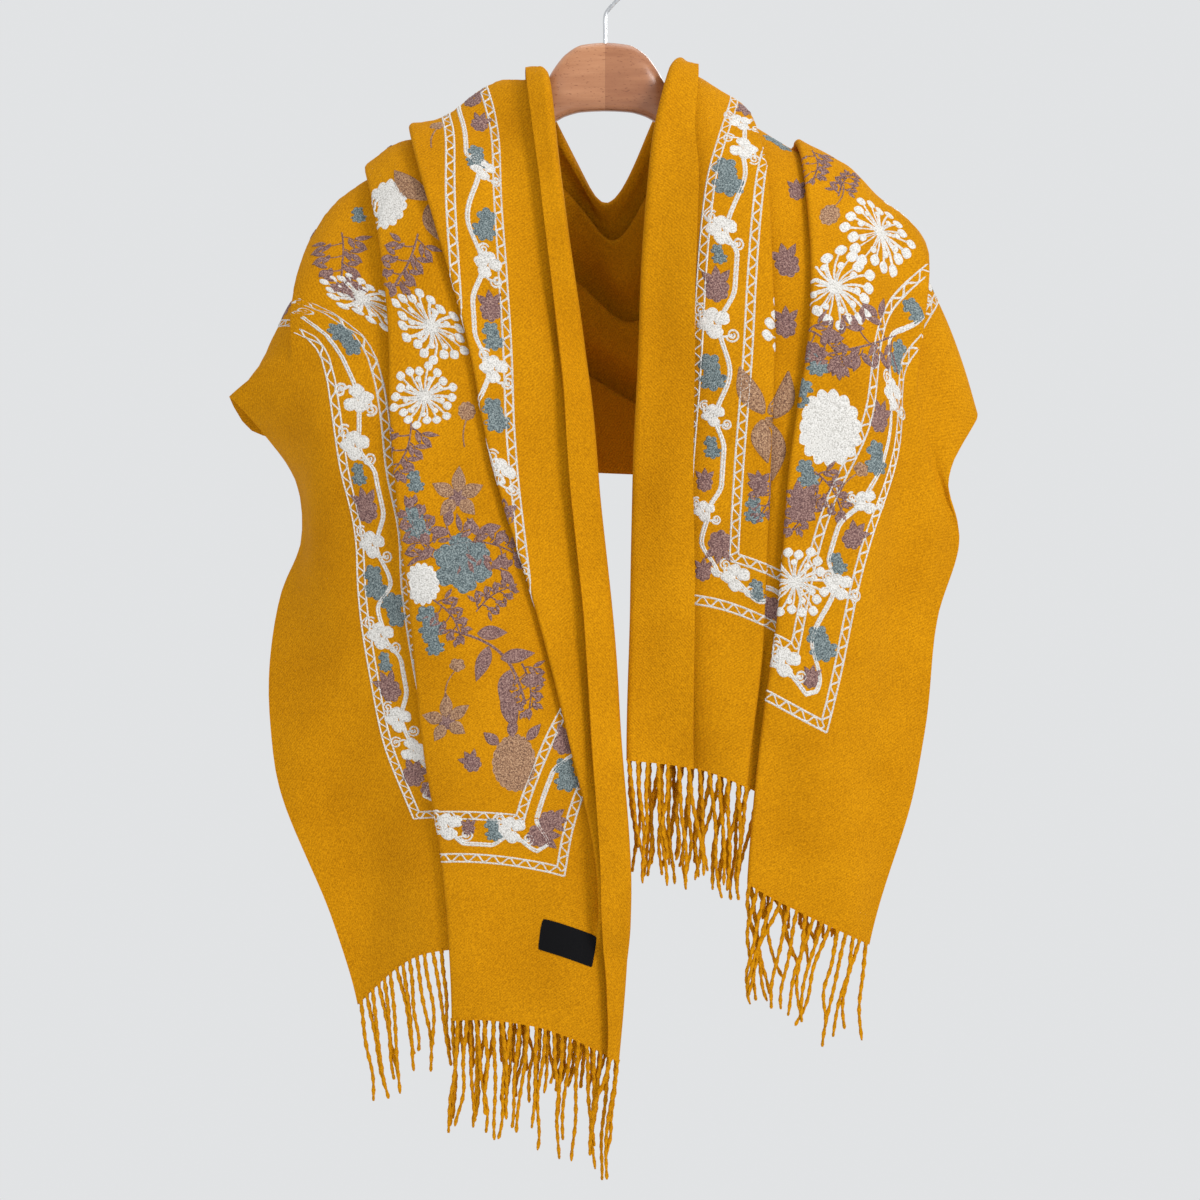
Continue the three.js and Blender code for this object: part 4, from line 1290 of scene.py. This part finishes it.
def umbel():
    """A white flower head: stalks that spread from the middle, each with a round knot."""
    strokes = scalloped("white", (0, 0), 0.09, 0.09, lobes=5, depth=0.15)
    for k, degrees in enumerate(range(0, 360, 20)):
        reach = (0.36, 0.44, 0.40)[k % 3]
        knot = polar(reach, degrees)
        strokes.append(stroke("white", curved(polar(0.05, degrees), knot, bow=0.05), CURL_WIDTH))
        strokes += scalloped("white", knot, 0.068, 0.068, lobes=4, depth=0.10)
        if k % 2:
            inner = polar(0.26, degrees + 10)
            strokes += scalloped("white", inner, 0.045, 0.045, lobes=4, depth=0.08)
            strokes.append(stroke("white", curved((0, 0), inner, bow=0.04), STEM_WIDTH))
    return strokes


def spray():
    """A mauve stem with rounded leaves to both sides."""
    strokes = [stroke("mauve", curved((0, -0.5), (0.03, 0.42), bow=0.10), SPRAY_WIDTH)]
    for k, up in enumerate((-0.42, -0.32, -0.2, -0.1, 0.02, 0.12, 0.22, 0.31)):
        side = 1 if k % 2 else -1
        reach = 0.36 - 0.22 * (up + 0.42)
        bow = 0.10 * math.sin(math.pi * (up + 0.5))
        aside = side * reach
        strokes.append(stroke("mauve", curved((-bow, up), (aside * 0.6, up + 0.08), bow=0.1), TWIG_WIDTH))
        strokes += pointed("mauve", (aside * 0.55, up + 0.07), (aside * 1.05, up + 0.19), breadth=0.10)
        strokes += pointed("mauve", (aside * 0.3, up + 0.03), (aside * 0.6, up + 0.20), breadth=0.08)
        strokes += pointed("mauve", (aside * 0.5, up + 0.03), (aside * 1.15, up - 0.03), breadth=0.085)
    strokes += pointed("mauve", (0.02, 0.34), (0.05, 0.56), breadth=0.13)
    return strokes


def foliage():
    strokes = []
    for base, tip, breadth, bend in (
        ((0, -0.02), (-0.34, 0.46), 0.25, 0.04),
        ((0.04, 0), (0.34, 0.44), 0.26, -0.04),
        ((0.02, -0.06), (0.50, -0.30), 0.22, 0.05),
        ((0.0, -0.08), (0.14, -0.56), 0.22, -0.04),
    ):
        strokes += ribbed("tan", base, tip, breadth, 7, bend)
    return strokes


def leaf():
    return ribbed("mauve", (0, -0.5), (0.05, 0.5), 0.36, 4)


def cross_flower():
    strokes = []
    for degrees, reach in ((-62, 0.48), (4, 0.52), (64, 0.48), (135, 0.42), (-138, 0.42)):
        strokes += pointed("tan", polar(0.06, degrees), polar(reach, degrees), breadth=0.25)
    strokes += scalloped("mauve", (0, 0), 0.17, 0.17, lobes=5, depth=0.12)
    return strokes


def pod():
    strokes = scalloped("tan", (0, -0.08), 0.29, 0.40, lobes=19, depth=0.06)
    for share in (0.35, 0.7):
        rim = wavy((0, -0.08), 0.29, 0.40, waves=11, depth=0.06, share=share)
        strokes.append(stroke("tan", rim, RIB_WIDTH))
    for degrees in (-42, 0, 42):
        strokes += pointed("mauve", polar(0.26, degrees), polar(0.52, degrees), breadth=0.14)
    return strokes


def cluster():
    """A light blue cluster of florets with mauve sprays round it."""
    strokes = scalloped("blue", (0, 0), 0.17, 0.17, lobes=5, depth=0.2)
    for degrees in range(0, 360, 60):
        middle = polar(0.24, degrees)
        angle = math.radians(degrees)
        strokes += scalloped("blue", middle, 0.17, 0.16, lobes=5, depth=0.2, start=angle)
    for degrees in (-55, -15, 40, 105):
        stem = curved(polar(0.3, degrees), polar(0.64, degrees + 8), bow=0.15)
        strokes.append(stroke("mauve", stem, STEM_WIDTH))
        strokes += pointed("mauve", polar(0.50, degrees), polar(0.72, degrees + 14), breadth=0.14)
        strokes += pointed("mauve", polar(0.42, degrees), polar(0.58, degrees - 24), breadth=0.13)
    return strokes


def branch():
    strokes = [stroke("mauve", curved((0.05, -0.5), (0, 0.5), bow=0.16), THICK_WIDTH)]
    for up, tip in (
        (-0.30, (-0.30, -0.12)),
        (-0.14, (0.18, 0.04)),
        (0.02, (-0.36, 0.18)),
        (0.16, (0.14, 0.32)),
        (0.30, (-0.28, 0.44)),
    ):
        strokes += pointed("mauve", (-0.10, up), tip, breadth=0.14)
    return strokes


MOTIFS = {
    "blossom": blossom,
    "tuft": tuft,
    "bell": bell,
    "bud": bud,
    "berry": berry,
    "round": round_flower,
    "umbel": umbel,
    "spray": spray,
    "foliage": foliage,
    "leaf": leaf,
    "cross": cross_flower,
    "pod": pod,
    "cluster": cluster,
    "branch": branch,
}
STRETCH_REACH = 12
STRETCH_LIMITS = (0.9, 1.6)


def unstretched(middle):
    """What keeps a motif's shape where the hanging cloth is drawn longer or slanted, at one place."""
    reach = STRETCH_REACH * np.array([(-1, 0), (1, 0), (0, -1), (0, 1)])
    ends = on_cloth(middle[0] + reach[:, 0], middle[1] + reach[:, 1], np.zeros(4))
    slopes = np.stack([ends[1] - ends[0], ends[3] - ends[2]], axis=1) / (2 * STRETCH_REACH)
    squares, axes = np.linalg.eigh(slopes.T @ slopes)
    return axes @ np.diag(1 / np.clip(np.sqrt(squares), *STRETCH_LIMITS)) @ axes.T


def placed(kind, middle, towards, size):
    """A motif's strokes at its place on the flat cloth, with its top towards a direction."""
    up = np.array(towards) / np.linalg.norm(towards)
    side = np.array([-up[1], up[0]])
    shape = size * unstretched(middle)
    return [
        (thread, middle + (points[..., :1] * side + points[..., 1:] * up) @ shape, width)
        for thread, points, width in MOTIFS[kind]()
    ]


# Where the view of the front meets the cloth


def ways_to_cloth():
    """A search tree of the cloth's grid, for rays from the camera."""
    points = grid[cloth_rows].reshape(-1, 3)
    return BVHTree.FromPolygons(points.tolist(), quads(last_row - first_row + 1, columns).tolist())


tree = ways_to_cloth()
eye = Vector((VIEW_CENTRE[0], VIEW_CENTRE[1] - VIEW_DISTANCE, VIEW_CENTRE[2]))


def flat_place(right, below):
    """The place across and along the flat cloth that shows at a point of the front view."""
    target = Vector((right, VIEW_CENTRE[1], -below))
    hit, _, face, _ = tree.ray_cast(eye, target - eye)
    if face is None:
        return None
    i, j = divmod(face, columns - 1)
    i += first_row
    corner = grid[i, j]
    hit = np.array(hit)
    right_edge = grid[i, j + 1] - corner
    down_edge = grid[i + 1, j] - corner
    share = np.clip(np.dot(hit - corner, right_edge) / np.dot(right_edge, right_edge), 0, 1)
    part = np.clip(np.dot(hit - corner, down_edge) / np.dot(down_edge, down_edge), 0, 1)
    across = across_at[i, j] + share * (across_at[i, j + 1] - across_at[i, j])
    return np.array([across, row_places[i] + part * ROW_STEP])


LEAN_REACH = 8
LEAST_LEAN_REACH = 1
MOST_LEAN_REACH = 24


def seen_flower(row):
    """A flower of the front's tables on the flat cloth: its middle and its upward direction."""
    lean = math.radians(row["lean"])
    aside = LEAN_REACH * math.sin(lean)
    above = LEAN_REACH * math.cos(lean)
    middle = flat_place(row["right"], row["below"])
    ahead = flat_place(row["right"] + aside, row["below"] - above)
    if middle is None:
        return None
    towards = np.zeros(2) if ahead is None else ahead - middle
    if not LEAST_LEAN_REACH <= np.linalg.norm(towards) <= MOST_LEAN_REACH:
        towards = np.array([0.0, 1.0])
    return middle, towards


# The frame: two pairs of lines with a zigzag thread between them, and a vine along the band

BAND_MIDDLE = FRAME_BAND / 2
SIDE_WAYS = np.array([(-1, 0), (0, 1), (1, 0), (0, -1)], float)


def rectangle(inset):
    low = np.array([FRAME_SIDE + inset, FRAME_END + inset], float)
    high = np.array([CLOTH_WIDTH - FRAME_SIDE - inset, CLOTH_LENGTH - FRAME_END - inset], float)
    return np.array([low, (low[0], high[1]), high, (high[0], low[1]), low])


def offset_line(corners, places, offset):
    """Points along a rectangle, some way towards its outer side."""
    run = run_of(corners)
    places = np.mod(places, run[-1])
    side = np.clip(np.searchsorted(run, places, side="right") - 1, 0, 3)
    return resampled(corners, places) + SIDE_WAYS[side] * np.asarray(offset)[..., None]


def rim_point(places, offset):
    return offset_line(rectangle(BAND_MIDDLE), places, offset)


RIM_LENGTH = float(run_of(rectangle(BAND_MIDDLE))[-1])


def rim_place(point):
    """How far along the band a point lies, and how far to its outer side."""
    middle = rectangle(BAND_MIDDLE)
    run = run_of(middle)
    best = None
    for side in range(4):
        axis = (middle[side + 1] - middle[side]) / (run[side + 1] - run[side])
        reach = np.clip(np.dot(point - middle[side], axis), 0, run[side + 1] - run[side])
        offset = point - (middle[side] + reach * axis)
        if best is None or np.linalg.norm(offset) < best[0]:
            best = (np.linalg.norm(offset), run[side] + reach, float(np.dot(offset, SIDE_WAYS[side])))
    return best


VINE_ORDER = ("bell", "tuft", "blossom", "tuft", "blossom")
VINE_STEP = 34
VINE_SIZES = {"bell": 32, "tuft": 34, "blossom": 34}
MOST_OFFSET = 9
VINE_OFFSET = 8
VINE_POINT_STEP = 3
VINE_HALF = 1.2


def frame_strokes():
    strokes = []
    for inset in (0, EDGE_PAIR, FRAME_BAND - EDGE_PAIR, FRAME_BAND):
        strokes.append(stroke("white", rectangle(inset)))
    for inset in (0, FRAME_BAND - EDGE_PAIR):
        middle = rectangle(inset + EDGE_PAIR / 2)
        length = run_of(middle)[-1]
        waves = round(length / ZIGZAG_PITCH)
        places = np.linspace(0, length, round(length / ZIGZAG_STEP))
        swing = (EDGE_PAIR / 2 - ZIGZAG_INSET) * np.sin(2 * math.pi * waves * places / length)
        strokes.append(stroke("white", offset_line(middle, places, swing), FINE_WIDTH))
    return strokes


def vine_flowers():
    """Every flower of the band as its kind, place, offset, size and direction."""
    flowers = []
    for row in BAND_FLOWERS:
        seen = seen_flower(row)
        if seen is None:
            continue
        distance, place, offset = rim_place(seen[0])
        if distance > FRAME_BAND:
            continue
        offset = float(np.clip(offset, -MOST_OFFSET, MOST_OFFSET))
        flowers.append((place, row["kind"], offset, row["size"], seen[1]))
    flowers.sort(key=lambda flower: flower[0])
    filled = []
    turn = 0
    for k, flower in enumerate(flowers):
        filled.append(flower)
        following = flowers[(k + 1) % len(flowers)][0] + (RIM_LENGTH if k + 1 == len(flowers) else 0)
        count = round((following - flower[0]) / VINE_STEP) - 1
        for step in range(1, count + 1):
            place = flower[0] + (following - flower[0]) * step / (count + 1)
            kind = VINE_ORDER[turn % len(VINE_ORDER)]
            side = 1 if turn % 2 else -1
            offset = 0 if kind == "blossom" else side * MOST_OFFSET
            ends = rim_point(np.array([place - 1, place + 1]), np.zeros(2))
            filled.append((place, kind, offset, VINE_SIZES[kind], ends[1] - ends[0]))
            turn += 1
    return filled


def vine_offset(kind, offset):
    """The vine runs through its blossoms and swings to the other side of the rest."""
    if kind == "blossom":
        return offset / 2
    return -VINE_OFFSET if offset > 0 else VINE_OFFSET


def vine_strokes(flowers):
    strokes = []
    places = np.array([flower[0] for flower in flowers] + [flowers[0][0] + RIM_LENGTH])
    offsets = np.array([vine_offset(kind, offset) for _, kind, offset, _, _ in [*flowers, flowers[0]]])
    along = np.arange(places[0], places[-1], VINE_POINT_STEP)
    k = np.clip(np.searchsorted(places, along, side="right") - 1, 0, len(places) - 2)
    part = smooth((along - places[k]) / np.maximum(places[k + 1] - places[k], 1))
    middle = offsets[k] + (offsets[k + 1] - offsets[k]) * part
    for apart in (-VINE_HALF, VINE_HALF):
        strokes.append(stroke("white", rim_point(along, middle + apart), THICK_WIDTH))
    for place, kind, offset, size, towards in flowers:
        middle = rim_point(np.array([place]), np.array([offset]))[0]
        strokes += placed(kind, middle, towards, size)
    return strokes


# Flowers of the field where the front doesn't show them: rows that repeat over the back

FIELD_ROWS = table(("along", "across", "kind", "size", "lean"), [
    (0, 215, "umbel", 80, 0),
    (8, 290, "cross", 56, 30),
    (-6, 352, "tuft", 34, -15),
    (10, 420, "round", 66, 0),
    (-4, 488, "spray", 66, 25),
    (62, 205, "spray", 62, -30),
    (70, 262, "tuft", 32, 20),
    (78, 330, "foliage", 92, -20),
    (64, 405, "berry", 40, 10),
    (84, 462, "umbel", 78, 0),
    (128, 222, "round", 60, 0),
    (140, 292, "cluster", 58, 15),
    (150, 372, "bud", 38, 30),
    (138, 432, "cross", 54, -20),
    (152, 500, "tuft", 34, 10),
    (205, 212, "tuft", 32, -10),
    (200, 262, "pod", 66, 10),
    (212, 335, "umbel", 82, 0),
    (206, 412, "spray", 64, 160),
    (214, 478, "foliage", 84, 30),
])
FIELD_REPEAT = 272
FIELD_START = 232
FIELD_END = 1770
LEAST_APART = 0.46


def field_strokes():
    strokes = []
    taken = []
    for row in FIELD_FLOWERS:
        seen = seen_flower(row)
        if seen is None:
            continue
        strokes += placed(row["kind"], seen[0], seen[1], row["size"])
        taken.append((seen[0], row["size"]))
    for repeat in range(int((FIELD_END - FIELD_START) / FIELD_REPEAT) + 1):
        for row in FIELD_ROWS:
            middle = np.array([row["across"], FIELD_START + repeat * FIELD_REPEAT + row["along"]], float)
            free = [
                np.linalg.norm(middle - other) >= LEAST_APART * (size + row["size"])
                for other, size in taken
            ]
            if middle[1] > FIELD_END or not all(free):
                continue
            lean = math.radians(row["lean"])
            towards = np.array([math.sin(lean), math.cos(lean)])
            strokes += placed(row["kind"], middle, towards, row["size"])
            taken.append((middle, row["size"]))
    return strokes


# Strokes become low rounded ribbons and pads on the outer face of the cloth

SUNK = 0.25
NARROWING = 0.22
LOWERING = 0.35
LEAST_LENGTH = 1e-9
FEWEST_STITCHES = 3


def ribbon(points, width):
    """A line's three rows of points, its heights and its faces."""
    run = run_of(points)
    count = max(int(run[-1] / STITCH_STEP), FEWEST_STITCHES)
    places = np.linspace(0, run[-1], count + 1)
    middle = resampled(points, places)
    direction = unit(np.gradient(middle, axis=0) + LEAST_LENGTH)
    side = np.stack([-direction[:, 1], direction[:, 0]], axis=1)
    beat = np.abs(np.sin(math.pi * places / CHAIN_LENGTH))
    half = (width / 2 * (1 - NARROWING + NARROWING * beat))[:, None]
    top = CHAIN_HEIGHT * (1 - LOWERING + LOWERING * beat)
    sunk = np.full(count + 1, -SUNK)
    flat = np.concatenate([middle + side * half, middle, middle - side * half])
    return flat, np.concatenate([sunk, top, sunk]), quads(3, count + 1)


def patch(rings):
    """A pad's rings, its heights and its faces, with its middle closed."""
    count = rings.shape[1]
    heights = np.repeat(PAD_HEIGHTS, count)
    middle = (len(rings) - 1) * count + end_cap(count)
    return rings.reshape(-1, 2), heights, np.concatenate([quads(len(rings), count, closed=True), middle])


def relief(strokes):
    flats = []
    heights = []
    faces = []
    base = 0
    for _, points, width in strokes:
        flat, height, sides = ribbon(points, width) if points.ndim == 2 else patch(points)
        flats.append(flat)
        heights.append(height)
        faces.append(sides + base)
        base += len(flat)
    flat = np.concatenate(flats)
    lifted = np.concatenate(heights) + CLOTH_WALL / 2
    return on_cloth(flat[:, 0], flat[:, 1], lifted), np.concatenate(faces)[:, ::-1]


def embroider(name, thread, strokes, material):
    points, faces = relief([one for one in strokes if one[0] == thread])
    return build(name, points, faces, material)


frame_work = frame_strokes()
band_work = vine_strokes(vine_flowers())
field_work = field_strokes()
threads = {name: thread_material(name) for name in THREAD_COLOURS}
embroidery = [
    embroider("embroidery_frame", "white", frame_work, threads["white"]),
    embroider("embroidery_vine", "white", band_work, threads["white"]),
    embroider("embroidery_white", "white", field_work, threads["white"]),
]
for name in ("blue", "mauve", "tan"):
    embroidery.append(embroider(f"embroidery_{name}", name, band_work + field_work, threads[name]))


# Hanger. Each row is a ring across the wood: how far out from its middle, its top and bottom,
# its depth from front to back and where the middle of that depth lies.
WOOD_RINGS = table(("along", "top", "bottom", "depth", "middle"), [
    (0, -75, -141, 28, 4),
    (22, -77, -142, 28, 4),
    (38, -86, -146, 28, 4),
    (49, -99, -152, 28, 5),
    (60, -116.2, -160, 26, 6),
    (100, -139.2, -182, 26, 8),
    (150, -167.2, -206, 27, 8),
    (190, -189.6, -224, 28, 8),
    (206, -200.4, -225, 24, 8),
    (213, -207.4, -221, 14, 8),
])
WOOD_SIDES = 40
WOOD_SQUARENESS = 0.75
WOOD_STEP = 3
WOOD_END_SHARE = 0.6
WOOD_END_REACH = 1.5


def rounded(value):
    return np.sign(value) * np.abs(value) ** WOOD_SQUARENESS


wood_curves = {name: monotone(WOOD_RINGS, name) for name in ("top", "bottom", "depth", "middle")}


def wood_ring(out):
    top, bottom, depth, middle = (float(curve(abs(out))) for curve in wood_curves.values())
    angle = 2 * math.pi * (np.arange(WOOD_SIDES) + 0.5) / WOOD_SIDES
    y = middle + depth / 2 * rounded(np.cos(angle))
    z = (top + bottom) / 2 + (top - bottom) / 2 * rounded(np.sin(angle))
    return np.stack([np.full(WOOD_SIDES, float(out)), y, z], axis=1)


def wood_end(ring, side):
    """The smaller ring that rounds off an arm's end."""
    middle = ring.mean(axis=0)
    return middle + WOOD_END_SHARE * (ring - middle) + np.array([side * WOOD_END_REACH, 0, 0])


def hanger():
    reach = WOOD_RINGS[-1]["along"]
    rings = [wood_ring(out) for out in np.arange(-reach, reach + 1, WOOD_STEP)]
    rings = [wood_end(rings[0], -1), *rings, wood_end(rings[-1], 1)]
    faces = tube_faces(len(rings), WOOD_SIDES)[:, ::-1]
    piece = build("hanger_beech", np.concatenate(rings), faces, beech())
    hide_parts("hanger_wood")


HOOK_STEPS = 110
HOOK_SIDES = 16
HOOK_TURN_STEP = 18
HOOK_BEND_BELOW = 1.4
HOOK_CHORD_POWER = 0.5
STEM_RISES = (0.3 - SOCKET_DEPTH, 12, 24)
FINE_STEPS = 440
WIRE_TIP_SHARES = (0.35, 0.85)


def hook():
    """The hook's wire: a straight stem, a bend to one side and an open loop."""
    radius = HOOK_INNER_RADIUS + HOOK_WIRE / 2
    points = [(0, 0, HEAD_TOP + rise) for rise in STEM_RISES]
    points.append((HOOK_BEND, 0, -HOOK_INNER_RADIUS - HOOK_BEND_BELOW * radius))
    for degrees in range(HOOK_START, HOOK_END + 1, HOOK_TURN_STEP):
        angle = math.radians(degrees)
        points.append((radius * math.cos(angle), 0, radius * math.sin(angle) - HOOK_INNER_RADIUS))
    points = np.array(points, float)
    chords = np.linalg.norm(np.diff(points, axis=0), axis=1) ** HOOK_CHORD_POWER
    knots = np.concatenate([[0], np.cumsum(chords)])
    centre = spline(knots, points, np.linspace(0, knots[-1], FINE_STEPS))
    centre = resampled(centre, np.linspace(0, run_of(centre)[-1], HOOK_STEPS))
    radii = np.full(HOOK_STEPS, HOOK_WIRE / 2)
    radii[[0, -1]] *= WIRE_TIP_SHARES[0]
    radii[[1, -2]] *= WIRE_TIP_SHARES[1]
    wire, faces = tube(centre, radii, HOOK_SIDES)
    piece = build("hanger_hook_wire", wire, faces, steel())
    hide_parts("hanger_hook")


hanger()
hook()


# Floor, light and camera

FLOOR_BELOW = -1.75
FLOOR_HALF = 2.6


def floor():
    mesh = bpy.data.meshes.new("floor")
    ways = ((-1, -1), (1, -1), (1, 1), (-1, 1))
    mesh.from_pydata([(FLOOR_HALF * x, FLOOR_HALF * y, FLOOR_BELOW) for x, y in ways], [], [(0, 1, 2, 3)])
    mesh.materials.append(pale_floor())
    piece = bpy.data.objects.new("floor", mesh)
    bpy.context.scene.collection.objects.link(piece)


# Soft boxes: place, width, height and power.
SOFT_BOXES = table(("name", "place", "width", "height", "power"), [
    ("key", (1.9, -2.5, 0.8), 0.9, 0.9, 60),
    ("fill", (-1.4, -2.8, -0.2), 1.6, 1.6, 9),
    ("top", (0.2, 0.3, 1.5), 1.2, 1.2, 9),
    ("back", (0.9, 2.4, 0.5), 1.4, 1.4, 26),
])
LIGHT_TARGET = Vector((0, 0, -0.6))
SKY = (0.97, 0.985, 1.0)
SKY_STRENGTH = 0.78


def light():
    for row in SOFT_BOXES:
        lamp = bpy.data.lights.new(row["name"], "AREA")
        lamp.shape = "RECTANGLE"
        lamp.size = row["width"]
        lamp.size_y = row["height"]
        lamp.energy = row["power"]
        holder = bpy.data.objects.new(row["name"], lamp)
        holder.location = row["place"]
        holder.rotation_euler = (LIGHT_TARGET - holder.location).to_track_quat("-Z", "Y").to_euler()
        bpy.context.scene.collection.objects.link(holder)
    world = bpy.data.worlds.new("studio")
    world.use_nodes = True
    sky = world.node_tree.nodes["Background"]
    sky.inputs["Color"].default_value = (*SKY, 1)
    sky.inputs["Strength"].default_value = SKY_STRENGTH
    bpy.context.scene.world = world


def camera():
    lens = bpy.data.cameras.new("camera")
    lens.sensor_width = SENSOR
    lens.lens = SENSOR / VIEW_WIDTH * VIEW_DISTANCE
    holder = bpy.data.objects.new("camera", lens)
    holder.location = eye * UNIT
    holder.rotation_euler = (math.pi / 2, 0, 0)
    bpy.context.scene.collection.objects.link(holder)
    bpy.context.scene.camera = holder


floor()
light()
camera()
bpy.context.scene.view_settings.view_transform = "Standard"
